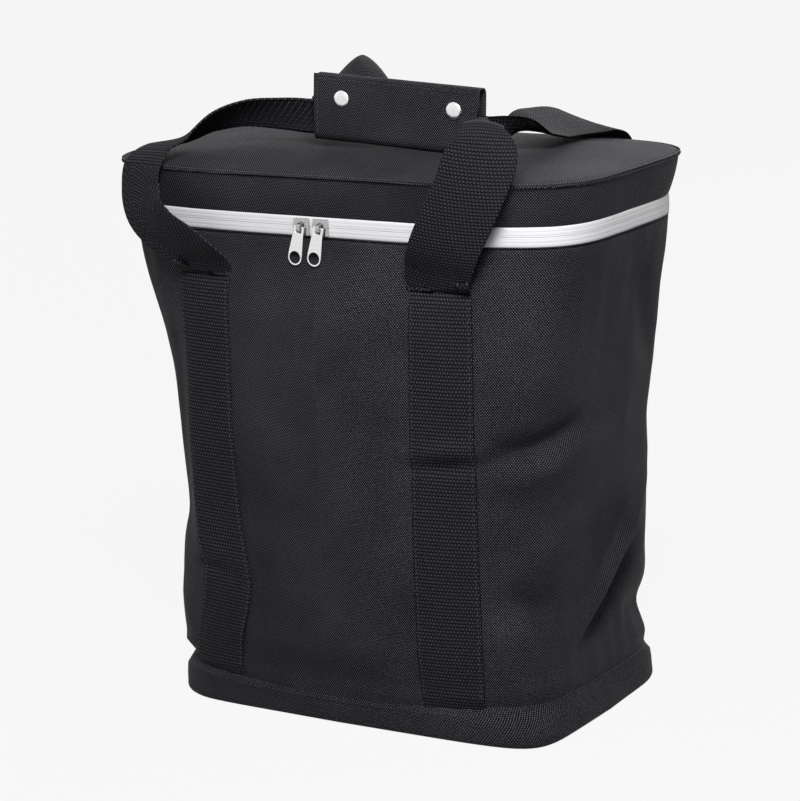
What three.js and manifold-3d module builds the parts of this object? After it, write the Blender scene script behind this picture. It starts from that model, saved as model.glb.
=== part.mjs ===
import * as THREE from 'three';
import Module from 'manifold-3d';

const wasm = await Module();
wasm.setup();

// Driving dimensions, millimetres, front towards -Y
const CORNER_POWER = 4.5;
const FRONT_SWELL = 12;
const BACK_SWELL = 8;
const WALL_STEPS = 48;
const BODY_HALF_WIDTH_LOW = 162;
const BODY_HALF_WIDTH_TOP = 192;
const BODY_HALF_DEPTH_LOW = 111;
const BODY_HALF_DEPTH_TOP = 106.5;
const BASE_FLARE_WIDTH = 6;
const BASE_FLARE_DEPTH = 1;
const BASE_BAND_TOP = 25;
const LID_SEAM = 403;
const LID_BAND = 30;
const ZIP_BAND = 13;
const LID_FLARE_WIDTH = 7;
const LID_FLARE_DEPTH = 6.5;
const LID_CROWN = 10;
const FABRIC = 1.0;
const FOAM = 6.0;
const LINER = 0.8;
const BASE_BOARD = 3.0;
const WEBBING_WIDTH = 50;
const WEBBING = 1.6;
const COIL_THICKNESS = 2.0;
const TAPE_THICKNESS = 0.8;
const COIL_SPLIT = 1.1;
const WRAP_LENGTH = 135;
const WRAP_HEIGHT = 46;
const WRAP_LIFT = 26.6;
const WRAP_FRONT = 4;
const WRAP_BACK = 5.6;
const WRAP_CLOTH = 1.2;
const WRAP_TILT = THREE.MathUtils.degToRad(3);
const SNAP_DIAMETER = 12.6;
const SNAP_SPACING = 93;
const SNAP_OFFSET = 2.7;
const SLIDER_LEFT_X = -15;
const SLIDER_RIGHT_X = 1;
const PULL_LENGTH = 28;

// Sizes that follow from the driving ones
const ZIP_UPPER_EDGE = LID_SEAM - LID_BAND;
const ZIP_LOWER_EDGE = ZIP_UPPER_EDGE - ZIP_BAND;
const BASE_HALF_WIDTH = BODY_HALF_WIDTH_LOW + BASE_FLARE_WIDTH;
const BASE_HALF_DEPTH = BODY_HALF_DEPTH_LOW + BASE_FLARE_DEPTH;
const LID_HALF_WIDTH = BODY_HALF_WIDTH_TOP + LID_FLARE_WIDTH;
const LID_HALF_DEPTH = BODY_HALF_DEPTH_TOP + LID_FLARE_DEPTH;
const STRAP_CENTRE = 0.4874 * LID_HALF_WIDTH;
const STRAP_SEWN_TOP = LID_SEAM - 1.5 * WEBBING_WIDTH;
const WRAP_CENTRE = new THREE.Vector3(
  0.1377 * LID_HALF_WIDTH,
  -0.354 * LID_HALF_DEPTH,
  LID_SEAM + LID_CROWN + WRAP_LIFT,
);

// Clearances
const GAP = 0.3;
const SEW_GAP = 0.5;
const SLIDE_GAP = 0.4;

// Where the zip stops and the cloth hinge starts, as angles on the outline
const BACK_FROM = THREE.MathUtils.degToRad(52.5);
const BACK_TO = THREE.MathUtils.degToRad(127.5);
const FULL = 2 * Math.PI;

const cloth = (colour, roughness) =>
  new THREE.MeshStandardMaterial({ color: colour, roughness, metalness: 0 });
const BLACK_CLOTH = cloth(0x2a2a2d, 0.85);
const BLACK_WEBBING = cloth(0x232326, 0.8);
const WHITE_ZIP = cloth(0xf0f0ee, 0.55);
const GREY_FOAM = cloth(0xd9dadb, 0.95);
const SILVER_LINER = new THREE.MeshStandardMaterial({ color: 0xc4c6c8, roughness: 0.4, metalness: 0.5 });
const DARK_BOARD = cloth(0x3a3a3a, 0.6);
const NICKEL = new THREE.MeshStandardMaterial({ color: 0xc9cacb, roughness: 0.22, metalness: 1 });

const group = new THREE.Group();
group.name = 'bike_basket_cooler_bag';

function place(name, geometry, material) {
  const mesh = new THREE.Mesh(geometry, material);
  mesh.name = name;
  group.add(mesh);
  return mesh;
}

// Geometry helpers
function indexed(points, faces) {
  const geometry = new THREE.BufferGeometry();
  geometry.setAttribute('position', new THREE.Float32BufferAttribute(points.flatMap((p) => [p.x, p.y, p.z]), 3));
  geometry.setIndex(faces.flat());
  if (volume(geometry) < 0) {
    geometry.setIndex(faces.map(([a, b, c]) => [a, c, b]).flat());
  }
  geometry.computeVertexNormals();
  return geometry;
}

function volume(geometry) {
  const position = geometry.getAttribute('position');
  const index = geometry.getIndex();
  const corner = (k) => new THREE.Vector3().fromBufferAttribute(position, index.getX(k));
  let total = 0;
  for (let k = 0; k < index.count; k += 3) {
    total += corner(k).dot(corner(k + 1).cross(corner(k + 2))) / 6;
  }
  return total;
}

// A solid through matching sections; each section runs out along one face and back along the other
function loft(sections, closed = false) {
  const count = sections[0].length;
  const points = sections.flat();
  const faces = [];
  const last = closed ? sections.length : sections.length - 1;
  for (let i = 0; i < last; i += 1) {
    const here = i * count;
    const next = ((i + 1) % sections.length) * count;
    for (let j = 0; j < count; j += 1) {
      const k = (j + 1) % count;
      if (j < count / 2) {
        faces.push([here + j, next + j, next + k], [here + j, next + k, here + k]);
      } else {
        faces.push([here + j, next + j, here + k], [next + j, next + k, here + k]);
      }
    }
  }
  if (!closed) {
    const end = (sections.length - 1) * count;
    for (let j = 0; j < count / 2 - 1; j += 1) {
      const a = j;
      const b = j + 1;
      const c = count - 2 - j;
      const d = count - 1 - j;
      faces.push([a, b, c], [a, c, d]);
      faces.push([end + a, end + c, end + b], [end + a, end + d, end + c]);
    }
  }
  return indexed(points, faces);
}

const signedPower = (v, p) => Math.sign(v) * Math.abs(v) ** p;

function outline(a, b, angle, z) {
  const p = 2 / CORNER_POWER;
  return new THREE.Vector3(a * signedPower(Math.cos(angle), p), b * signedPower(Math.sin(angle), p), z);
}

function angles(from, to) {
  const step = FULL / WALL_STEPS;
  if (Math.abs(to - from - FULL) < 1e-6) {
    return { list: Array.from({ length: WALL_STEPS }, (_, i) => i * step), closed: true };
  }
  const list = [from];
  for (let i = Math.ceil(from / step + 0.1); i * step < to - 0.1 * step; i += 1) {
    list.push(i * step);
  }
  list.push(to);
  return { list, closed: false };
}

// Half width and half depth of the outer cloth at a height
const bodySize = (z) => {
  const u = z / ZIP_LOWER_EDGE;
  return [
    BODY_HALF_WIDTH_LOW + (BODY_HALF_WIDTH_TOP - BODY_HALF_WIDTH_LOW) * u * u,
    BODY_HALF_DEPTH_LOW + (BODY_HALF_DEPTH_TOP - BODY_HALF_DEPTH_LOW) * u,
  ];
};
const zipSize = () => [BODY_HALF_WIDTH_TOP, BODY_HALF_DEPTH_TOP];
const lidSize = (z) => {
  const u = (z - ZIP_UPPER_EDGE) / (LID_SEAM - ZIP_UPPER_EDGE);
  return [
    BODY_HALF_WIDTH_TOP + (LID_HALF_WIDTH - BODY_HALF_WIDTH_TOP) * u,
    BODY_HALF_DEPTH_TOP + (LID_HALF_DEPTH - BODY_HALF_DEPTH_TOP) * u,
  ];
};
const bandSize = (z) => {
  const u = z / BASE_BAND_TOP;
  const [a, b] = bodySize(BASE_BAND_TOP);
  return [BASE_HALF_WIDTH + (a - BASE_HALF_WIDTH) * u, BASE_HALF_DEPTH + (b - BASE_HALF_DEPTH) * u];
};

// Heights of the standing wall, and how far it swells out at each of them
const WALL_SHARES = [0, 0.068, 0.14, 0.313, 0.492, 0.671, 0.862, 0.934, 1];
const SWELL_SHARES = [0, 0.52, 1, 1, 1, 1, 0.8, 0.17, 0];
const SWELL_SPAN = 0.98;
const wallFoot = BASE_BAND_TOP + GAP;
const wallLevels = WALL_SHARES.map((u) => wallFoot + (ZIP_LOWER_EDGE - wallFoot) * u);
function swell(x, z, side) {
  const above = wallLevels.findIndex((level) => level >= z);
  if (above < 1) {
    return 0;
  }
  const [low, high] = [wallLevels[above - 1], wallLevels[above]];
  const share = THREE.MathUtils.lerp(SWELL_SHARES[above - 1], SWELL_SHARES[above], (z - low) / (high - low));
  const span = SWELL_SPAN * BODY_HALF_WIDTH_LOW;
  const full = side < 0 ? FRONT_SWELL : BACK_SWELL;
  return side * full * share * Math.max(0, 1 - (x / span) ** 2);
}

// A point on the standing wall, swollen out at front and back
function bodyPoint(angle, z, inset, height = z) {
  const [a, b] = bodySize(z);
  const point = outline(a - inset, b - inset, angle, height);
  point.y += swell((point.x * a) / (a - inset), z, Math.sign(point.y));
  return point;
}

// A sheet of wall between two insets, over the given heights and part of the outline
function wall(size, heights, insetOut, insetIn, from = 0, to = FULL) {
  const { list, closed } = angles(from, to);
  const at = (angle, z, inset) => {
    if (size === bodySize) {
      return bodyPoint(angle, z, inset);
    }
    const [a, b] = size(z);
    return outline(a - inset, b - inset, angle, z);
  };
  const sections = list.map((angle) => [
    ...heights.map((z) => at(angle, z, insetOut)),
    ...[...heights].reverse().map((z) => at(angle, z, insetIn)),
  ]);
  return loft(sections, closed);
}

// A flat or crowned slab with the bag's outline
function slab(a, b, low, high, crown = 0) {
  const shares = crown ? [1, 0.85, 0.6, 0.3] : [1];
  const { list } = angles(0, FULL);
  const points = [];
  const rise = (s) => crown * (1 - s ** 2.2);
  for (const z of [low, high]) {
    for (const s of shares) {
      points.push(...list.map((angle) => outline(a * s, b * s, angle, z + rise(s))));
    }
    points.push(new THREE.Vector3(0, 0, z + rise(0)));
  }
  const n = list.length;
  const side = shares.length * n + 1;
  const faces = [];
  for (let j = 0; j < n; j += 1) {
    const k = (j + 1) % n;
    for (let i = 0; i < shares.length - 1; i += 1) {
      const p = i * n;
      const q = p + n;
      faces.push([p + j, q + k, p + k], [p + j, q + j, q + k]);
      faces.push([side + p + j, side + p + k, side + q + k], [side + p + j, side + q + k, side + q + j]);
    }
    const p = (shares.length - 1) * n;
    faces.push([p + j, side - 1, p + k], [side + p + j, side + p + k, 2 * side - 1]);
    faces.push([j, k, side + k], [j, side + k, side + j]);
  }
  return indexed(points, faces);
}

// An open cup with a flat floor, following the wall
function cup(heights, insetOut, insetIn, floorLow, floorHigh) {
  const { list } = angles(0, FULL);
  const n = list.length;
  const ring = (z, inset, height = z) => list.map((angle) => bodyPoint(angle, z, inset, height));
  const down = [...heights].reverse();
  const rings = [
    ...heights.map((z, i) => ring(z, insetOut, i === 0 ? floorLow : z)),
    ...down.map((z, i) => ring(z, insetIn, i === down.length - 1 ? floorHigh : z)),
  ];
  const points = rings.flat();
  points.push(new THREE.Vector3(0, 0, floorLow), new THREE.Vector3(0, 0, floorHigh));
  const lowCentre = points.length - 2;
  const highCentre = points.length - 1;
  const faces = [];
  const end = (rings.length - 1) * n;
  for (let j = 0; j < n; j += 1) {
    const k = (j + 1) % n;
    for (let i = 0; i < rings.length - 1; i += 1) {
      const p = i * n;
      if (i < heights.length) {
        faces.push([p + j, p + k, p + n + k], [p + j, p + n + k, p + n + j]);
      } else {
        faces.push([p + j, p + k, p + n + j], [p + k, p + n + k, p + n + j]);
      }
    }
    faces.push([lowCentre, k, j], [highCentre, end + j, end + k]);
  }
  return indexed(points, faces);
}

// A strap through stations of centre, width direction, width and ridge; side is the way out from the bag
function strap(stations, side, from, to, steps) {
  const curve = (pick) => new THREE.CatmullRomCurve3(stations.map(pick));
  const centre = new THREE.CatmullRomCurve3(stations.map((s) => s.at), false, 'centripetal');
  const across = curve((s) => new THREE.Vector3(...s.across).normalize());
  const form = curve((s) => new THREE.Vector3(s.width, s.ridge, 0));
  const sections = Array.from({ length: steps + 1 }, (_, i) => {
    const t = from + ((to - from) * i) / steps;
    const along = centre.getTangent(t);
    const w = across.getPoint(t);
    w.addScaledVector(along, -w.dot(along)).normalize();
    const out = along.clone().cross(w).multiplyScalar(side);
    const { x: width, y: ridge } = form.getPoint(t);
    const c = centre.getPoint(t);
    const at = (share, lift) => c.clone().addScaledVector(w, share * width).addScaledVector(out, lift);
    const half = WEBBING / 2;
    return [
      at(-0.5, half), at(0, ridge + half), at(0.5, half),
      at(0.5, -half), at(0, ridge - half), at(-0.5, -half),
    ];
  });
  return loft(sections);
}

// A length of webbing sewn flat to the wall; side is -1 at the front and 1 at the back
function sewnStrap(centre, side, low, high) {
  const heights = [low, ...wallLevels.filter((z) => z > low && z < high), high];
  const columns = [-1, -0.6, -0.2, 0.2, 0.6, 1].map((u) => centre + (u * WEBBING_WIDTH) / 2);
  const at = (x, z, out) => {
    const [a, b] = bodySize(z);
    const y = b * (1 - Math.abs(x / a) ** CORNER_POWER) ** (1 / CORNER_POWER);
    return new THREE.Vector3(x, side * (y + out) + swell(x, z, side), z);
  };
  const sections = heights.map((z) => [
    ...columns.map((x) => at(x, z, SEW_GAP + WEBBING)),
    ...[...columns].reverse().map((x) => at(x, z, SEW_GAP)),
  ]);
  return loft(sections);
}

function toManifold(geometry) {
  const position = geometry.getAttribute('position');
  const index = geometry.getIndex();
  const lookup = new Map();
  const vertices = [];
  const remap = [];
  for (let i = 0; i < position.count; i += 1) {
    const p = [position.getX(i), position.getY(i), position.getZ(i)];
    const key = p.map((v) => v.toFixed(4)).join(' ');
    if (!lookup.has(key)) {
      lookup.set(key, vertices.length / 3);
      vertices.push(...p);
    }
    remap.push(lookup.get(key));
  }
  const count = index ? index.count : position.count;
  const triangles = [];
  for (let i = 0; i < count; i += 3) {
    const t = [0, 1, 2].map((k) => remap[index ? index.getX(i + k) : i + k]);
    if (t[0] !== t[1] && t[1] !== t[2] && t[0] !== t[2]) {
      triangles.push(...t);
    }
  }
  return new wasm.Manifold(new wasm.Mesh({
    numProp: 3,
    vertProperties: new Float32Array(vertices),
    triVerts: new Uint32Array(triangles),
  }));
}

function fromManifold(solid) {
  const mesh = solid.getMesh();
  const geometry = new THREE.BufferGeometry();
  geometry.setAttribute('position', new THREE.Float32BufferAttribute(mesh.vertProperties, 3));
  geometry.setIndex([...mesh.triVerts]);
  geometry.computeVertexNormals();
  return geometry;
}

const fuse = (...parts) => fromManifold(parts.map(toManifold).reduce((a, b) => a.add(b)));

// A shape drawn as (depth, height) and extruded along X, centred on x
function alongX(points, length, x) {
  const shape = new THREE.Shape(points.map(([y, z]) => new THREE.Vector2(y, z)));
  const geometry = new THREE.ExtrudeGeometry(shape, { depth: length, bevelEnabled: false });
  geometry.applyMatrix4(new THREE.Matrix4().makeBasis(
    new THREE.Vector3(0, 1, 0),
    new THREE.Vector3(0, 0, 1),
    new THREE.Vector3(1, 0, 0),
  ));
  geometry.translate(x - length / 2, 0, 0);
  return geometry;
}

// A sheet of given thickness along an open path of (depth, height) points
function sheetProfile(path, thickness) {
  const left = [];
  const right = [];
  path.forEach((p, i) => {
    const before = path[Math.max(0, i - 1)];
    const after = path[Math.min(path.length - 1, i + 1)];
    const d = new THREE.Vector2(after[0] - before[0], after[1] - before[1]).normalize();
    left.push([p[0] - (d.y * thickness) / 2, p[1] + (d.x * thickness) / 2]);
    right.push([p[0] + (d.y * thickness) / 2, p[1] - (d.x * thickness) / 2]);
  });
  return [...left, ...right.reverse()];
}

function arcPoints(cy, cz, radius, from, to, steps = 4) {
  return Array.from({ length: steps + 1 }, (_, i) => {
    const angle = THREE.MathUtils.degToRad(from + ((to - from) * i) / steps);
    return [cy + radius * Math.cos(angle), cz + radius * Math.sin(angle)];
  });
}

// Outer cloth and base
const skinHeights = wallLevels;
place('front_side_panel', wall(bodySize, skinHeights, 0, FABRIC, BACK_TO, BACK_FROM + FULL), BLACK_CLOTH);
place('back_panel', wall(bodySize, skinHeights, 0, FABRIC, BACK_FROM + 0.006, BACK_TO - 0.006), BLACK_CLOTH);
place('base_band', wall(bandSize, [0, BASE_BAND_TOP / 3, BASE_BAND_TOP], 0, FABRIC), BLACK_CLOTH);
const baseInset = FABRIC + GAP;
const panelTop = 1.2 * FABRIC;
const boardTop = panelTop + GAP + BASE_BOARD;
const floorLevels = { panelTop, boardTop, foamTop: boardTop + GAP + FOAM };
const [lowA, lowB] = bodySize(0);
place('base_panel', slab(lowA - baseInset, lowB - 2.6 * FABRIC, 0, floorLevels.panelTop), BLACK_CLOTH);
const [boardA, boardB] = [lowA - 2 * FABRIC, lowB - 3 * FABRIC];
place('base_board', slab(boardA, boardB, floorLevels.panelTop + GAP, floorLevels.boardTop), DARK_BOARD);
place('base_foam', slab(boardA, boardB, floorLevels.boardTop + GAP, floorLevels.foamTop), GREY_FOAM);

// Insulated walls and lining
const wallStart = floorLevels.foamTop + GAP;
const wallEnd = ZIP_LOWER_EDGE - FABRIC;
const foamOut = FABRIC + GAP;
const foamIn = foamOut + FOAM;
const foamHeights = [wallStart, ...wallLevels.slice(0, -1), wallEnd];
const quarter = Math.PI / 4;
const split = 0.003;
for (const [name, from] of [['right', -1], ['back', 1], ['left', 3], ['front', 5]]) {
  const a = from * quarter + split;
  const b = (from + 2) * quarter - split;
  place(`foam_${name}`, wall(bodySize, foamHeights, foamOut, foamIn, a, b), GREY_FOAM);
}
const linerOut = foamIn + GAP;
const linerIn = linerOut + LINER;
place('liner', cup(foamHeights, linerOut, linerIn, wallStart, wallStart + LINER), SILVER_LINER);
const bindingHeights = [wallEnd + GAP, ZIP_LOWER_EDGE - 0.05];
place('rim_binding', wall(bodySize, bindingHeights, foamOut, linerIn), BLACK_CLOTH);

// Zip
const zipMiddle = (ZIP_LOWER_EDGE + ZIP_UPPER_EDGE) / 2;
const coilHeight = 2.6;
const coilOut = -0.8;
const lowerCoil = [zipMiddle - COIL_SPLIT / 2 - coilHeight, zipMiddle - COIL_SPLIT / 2];
const upperCoil = [zipMiddle + COIL_SPLIT / 2, zipMiddle + COIL_SPLIT / 2 + coilHeight];
const zipFrom = BACK_TO + 0.01;
const zipTo = BACK_FROM + FULL - 0.01;
const zipBand = (heights, out, inner) => wall(zipSize, heights, out, inner, zipFrom, zipTo);
place('zip_tape_lower', zipBand([ZIP_LOWER_EDGE + GAP, lowerCoil[0] - GAP], 0, TAPE_THICKNESS), WHITE_ZIP);
place('zip_coil_lower', zipBand(lowerCoil, coilOut, coilOut + COIL_THICKNESS), WHITE_ZIP);
place('zip_coil_upper', zipBand(upperCoil, coilOut, coilOut + COIL_THICKNESS), WHITE_ZIP);
place('zip_tape_upper', zipBand([upperCoil[1] + GAP, ZIP_UPPER_EDGE - GAP], 0, TAPE_THICKNESS), WHITE_ZIP);
const hingeHeights = [ZIP_LOWER_EDGE + GAP, ZIP_UPPER_EDGE - GAP];
place('lid_hinge_strip', wall(zipSize, hingeHeights, 0, FABRIC, BACK_FROM, BACK_TO), BLACK_CLOTH);

// Lid
const bandHeights = [ZIP_UPPER_EDGE, ZIP_UPPER_EDGE + LID_BAND / 2, LID_SEAM];
place('lid_band', wall(lidSize, bandHeights, 0, FABRIC), BLACK_CLOTH);
const lidTop = LID_SEAM + GAP;
const lidLap = 0.6 * FABRIC;
const [topA, topB] = [LID_HALF_WIDTH + lidLap, LID_HALF_DEPTH + lidLap];
place('lid_top_panel', slab(topA, topB, lidTop, lidTop + FABRIC, LID_CROWN), BLACK_CLOTH);
const [foamA, foamB] = lidSize(LID_SEAM - FOAM - LINER - 4 * GAP).map((v) => v - FABRIC - GAP);
const lidFoamTop = lidTop - GAP;
place('lid_foam', slab(foamA, foamB, lidFoamTop - FOAM, lidFoamTop, LID_CROWN), GREY_FOAM);
const lidLinerTop = lidFoamTop - FOAM - GAP;
place('lid_liner', slab(foamA - 0.2, foamB - 0.2, lidLinerTop - LINER, lidLinerTop, LID_CROWN), SILVER_LINER);

// Webbing sewn to the front and back
for (const [sideName, side] of [['front', -1], ['back', 1]]) {
  for (const [hand, sign] of [['left', -1], ['right', 1]]) {
    const sewn = sewnStrap(sign * STRAP_CENTRE, side, BASE_BAND_TOP + 0.5, STRAP_SEWN_TOP);
    place(`${sideName}_strap_${hand}_sewn`, sewn, BLACK_WEBBING);
  }
}

// Free handle loops: legs up to the fold, then the bow through the wrap; places are shares of the
// lid's half width and half depth, and heights above its seam, widths and ridges are shares of the webbing
const station = ([x, y, z], across, width = 1, ridge = 0) => ({
  at: new THREE.Vector3(x * LID_HALF_WIDTH, y * LID_HALF_DEPTH, LID_SEAM + z * WEBBING_WIDTH),
  across,
  width: width * WEBBING_WIDTH,
  ridge: ridge * WEBBING_WIDTH,
});
const frontLoop = [
  station([-0.4874, -0.9929, -1.476], [1, 0, 0]),
  station([-0.4884, -1.0177, -1.32], [1, 0, 0], 0.98),
  station([-0.5377, -1.0619, -1.09], [0.98, -0.2, 0.1], 0.98),
  station([-0.6332, -1.0708, -0.9], [0.93, -0.32, 0.2], 0.98),
  station([-0.7136, -1.0531, -0.64], [0.94, -0.34, 0.05], 0.98),
  station([-0.7487, -1.0177, -0.3], [0.93, -0.36, -0.05], 0.96),
  station([-0.7487, -0.9779, 0.03], [0.89, -0.42, -0.12], 0.92),
  station([-0.7236, -0.8628, 0.25], [0.8, -0.6, 0], 0.84),
  station([-0.6633, -0.6903, 0.43], [0.74, -0.68, 0], 0.74),
  station([-0.5779, -0.5575, 0.56], [0.66, -0.7, -0.12], 0.7, 0.04),
  station([-0.4824, -0.4513, 0.62], [0.5, -0.62, -0.45], 0.62, 0.06),
  station([-0.3518, -0.3894, 0.63], [0.2, -0.35, -0.88], 0.55, 0.04),
  station([-0.2513, -0.3699, 0.632], [0.02, -0.05, -1], 0.51),
  station([-0.1809, -0.3699, 0.624], [-0.05, 0, -1], 0.5),
  station([0.1377, -0.3699, 0.56], [-0.05, 0, -1], 0.5),
  station([0.4121, -0.3699, 0.504], [-0.05, 0, -1], 0.5),
  station([0.4874, -0.3699, 0.488], [-0.05, 0, -1], 0.5),
  station([0.5427, -0.4602, 0.49], [-0.25, -0.1, -0.95], 0.52),
  station([0.603, -0.6372, 0.56], [-0.6, -0.3, -0.7], 0.64),
  station([0.6382, -0.823, 0.67], [-0.82, -0.5, -0.2], 0.7),
  station([0.6658, -0.9602, 0.67], [-0.86, -0.46, 0.05], 0.76),
  station([0.6884, -1.0354, 0.4], [-0.86, -0.36, 0.28], 0.94),
  station([0.6432, -1.0796, -0.12], [-0.9, -0.26, 0.3]),
  station([0.5477, -1.0752, -0.84], [-0.95, -0.2, 0.2]),
  station([0.4894, -1.0212, -1.28], [-1, 0, 0]),
  station([0.4874, -0.9929, -1.476], [-1, 0, 0]),
];
const backLoop = [
  station([-0.4874, 0.9788, -1.476], [1, 0, 0]),
  station([-0.4874, 1.0336, -1.18], [1, 0, 0]),
  station([-0.4874, 1.0619, -0.62], [1, 0, 0]),
  station([-0.4824, 1.0708, 0.02], [1, 0, 0]),
  station([-0.4673, 1.0354, 0.5], [1, 0.05, 0], 0.96, 0.1),
  station([-0.4523, 0.9292, 0.78], [1, 0.12, 0], 0.92, 0.3),
  station([-0.4322, 0.7788, 0.82], [0.95, 0.3, -0.05], 0.88, 0.32),
  station([-0.402, 0.5664, 0.7], [0.88, 0.42, -0.2], 0.84, 0.26),
  station([-0.3668, 0.3009, 0.6], [0.65, 0.5, -0.55], 0.68, 0.14),
  station([-0.3216, 0.0354, 0.59], [0.25, 0.25, -0.93], 0.54, 0.04),
  station([-0.2764, -0.2124, 0.62], [0.05, 0.1, -1], 0.51),
  station([-0.2362, -0.3204, 0.632], [0, 0.02, -1], 0.5),
  station([-0.196, -0.3381, 0.628], [-0.05, 0, -1], 0.5),
  station([-0.1407, -0.3381, 0.616], [-0.05, 0, -1], 0.5),
  station([0.1377, -0.3381, 0.56], [-0.05, 0, -1], 0.5),
  station([0.4121, -0.3381, 0.504], [-0.05, 0, -1], 0.5),
  station([0.4774, -0.3381, 0.49], [-0.05, 0, -1], 0.5),
  station([0.5126, -0.3097, 0.484], [-0.05, 0.05, -1], 0.5),
  station([0.5477, -0.177, 0.47], [-0.3, 0.3, -0.9], 0.52),
  station([0.5528, -0.0177, 0.48], [-0.75, 0.3, -0.5], 0.64),
  station([0.5327, 0.2124, 0.49], [-0.95, 0.15, 0.12], 0.84),
  station([0.5176, 0.4779, 0.41], [-0.92, 0.05, 0.38], 0.94),
  station([0.5176, 0.7434, 0.35], [-0.93, 0.05, 0.34], 0.98),
  station([0.5327, 0.9292, 0.24], [-0.97, 0.05, 0.2]),
  station([0.5402, 1.0487, -0.02], [-0.98, 0, 0.1]),
  station([0.5201, 1.0708, -0.54], [-0.98, 0, 0.12]),
  station([0.4925, 1.0336, -1.14], [-1, 0, 0.05]),
  station([0.4874, 0.9788, -1.476], [-1, 0, 0]),
];
const cut = 0.0006;
function loop(prefix, stations, side, leftFold, rightFold) {
  const n = stations.length - 1;
  const left = leftFold / n;
  const right = rightFold / n;
  place(`${prefix}_handle_left_leg`, strap(stations, side, 0, left - cut, 24), BLACK_WEBBING);
  place(`${prefix}_handle_bow`, strap(stations, side, left + cut, right - cut, 64), BLACK_WEBBING);
  place(`${prefix}_handle_right_leg`, strap(stations, side, right + cut, 1, 24), BLACK_WEBBING);
}
loop('front', frontLoop, -1, 6, 20);
loop('back', backLoop, 1, 5, 23);

// Grip wrap that snaps round both bows
const tilt = new THREE.Matrix4().makeRotationY(WRAP_TILT);
tilt.setPosition(WRAP_CENTRE);
const onWrap = (geometry) => geometry.applyMatrix4(tilt);
const top = WRAP_HEIGHT / 2;
const bend = WRAP_FRONT;
const wrapPath = [
  [-WRAP_FRONT, 0.26 * top],
  ...arcPoints(bend - WRAP_FRONT, top - bend, bend, 180, 90),
  ...arcPoints(WRAP_BACK - bend, top - bend, bend, 90, 0),
  ...arcPoints(WRAP_BACK - bend, -top + bend, bend, 0, -90),
  [-1.425 * WRAP_FRONT, -top],
];
place('handle_wrap', onWrap(alongX(sheetProfile(wrapPath, WRAP_CLOTH), WRAP_LENGTH, 0)), BLACK_CLOTH);
const flapBack = -1.55 * WRAP_FRONT;
const flapMiddle = flapBack - WRAP_CLOTH / 2;
const flapPath = [[flapMiddle, -top - WRAP_CLOTH / 2], [flapMiddle, 0], [flapMiddle, top + WRAP_CLOTH / 2]];
place('wrap_flap', onWrap(alongX(sheetProfile(flapPath, WRAP_CLOTH), WRAP_LENGTH, 0)), BLACK_CLOTH);
const snapHeight = 0.3 * top;
const turned = (profile) => new THREE.LatheGeometry(profile.map(([r, h]) => new THREE.Vector2(r, h)), 20);
const snapRadius = SNAP_DIAMETER / 2;
const capProfile = [[0, 0], [snapRadius, 0], [snapRadius, 0.5], [5.2, 1.5], [3.2, 2.2], [0, 2.5]];
const socketProfile = [[2.8, 0], [4.6, 0], [4.6, 1.1], [2.8, 1.1], [2.8, 0]];
const studProfile = [[0, 0], [2.3, 0], [2.3, 0.9], [0, 0.9]];
for (const [hand, sign] of [['left', -1], ['right', 1]]) {
  const x = SNAP_OFFSET + (sign * SNAP_SPACING) / 2;
  const seat = (profile, y) => {
    const geometry = turned(profile);
    geometry.rotateX(Math.PI);
    geometry.translate(x, y, snapHeight);
    return onWrap(fromManifold(toManifold(geometry)));
  };
  place(`snap_cap_${hand}`, seat(capProfile, flapBack - WRAP_CLOTH - 0.1), NICKEL);
  place(`snap_socket_${hand}`, seat(socketProfile, flapBack + WRAP_CLOTH), NICKEL);
  place(`snap_stud_${hand}`, seat(studProfile, -WRAP_FRONT - WRAP_CLOTH / 2 - 0.1), NICKEL);
}

// Zip sliders and pulls
const coilFront = -(BODY_HALF_DEPTH_TOP - coilOut);
const coilBack = coilFront + COIL_THICKNESS;
const plateFront = coilFront - SLIDE_GAP - 1.2;
const barDepth = plateFront - 2.3;
const barHeight = zipMiddle;
function slider(x) {
  const z = zipMiddle;
  const neck = 0.25;
  const backNear = coilBack + 0.9;
  const body = [
    [plateFront, z - 5.2], [plateFront + 1.2, z - 5.2], [plateFront + 1.2, z - neck], [backNear, z - neck],
    [backNear, z - 4.6], [backNear + 1, z - 4.6], [backNear + 1, z + 4.6], [backNear, z + 4.6],
    [backNear, z + neck], [plateFront + 1.2, z + neck], [plateFront + 1.2, z + 5.2], [plateFront, z + 5.2],
  ];
  const arch = [
    [plateFront + 0.5, z + 3.4],
    ...arcPoints(barDepth, barHeight, 2.6, 75, 285, 10),
    [plateFront + 0.5, z - 3.4],
    [plateFront + 0.5, z - 2.2],
    ...arcPoints(barDepth, barHeight, 1.5, 285, 75, 10),
    [plateFront + 0.5, z + 2.2],
  ];
  return fuse(alongX(body, 8.5, x), alongX(arch, 2, x));
}
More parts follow.
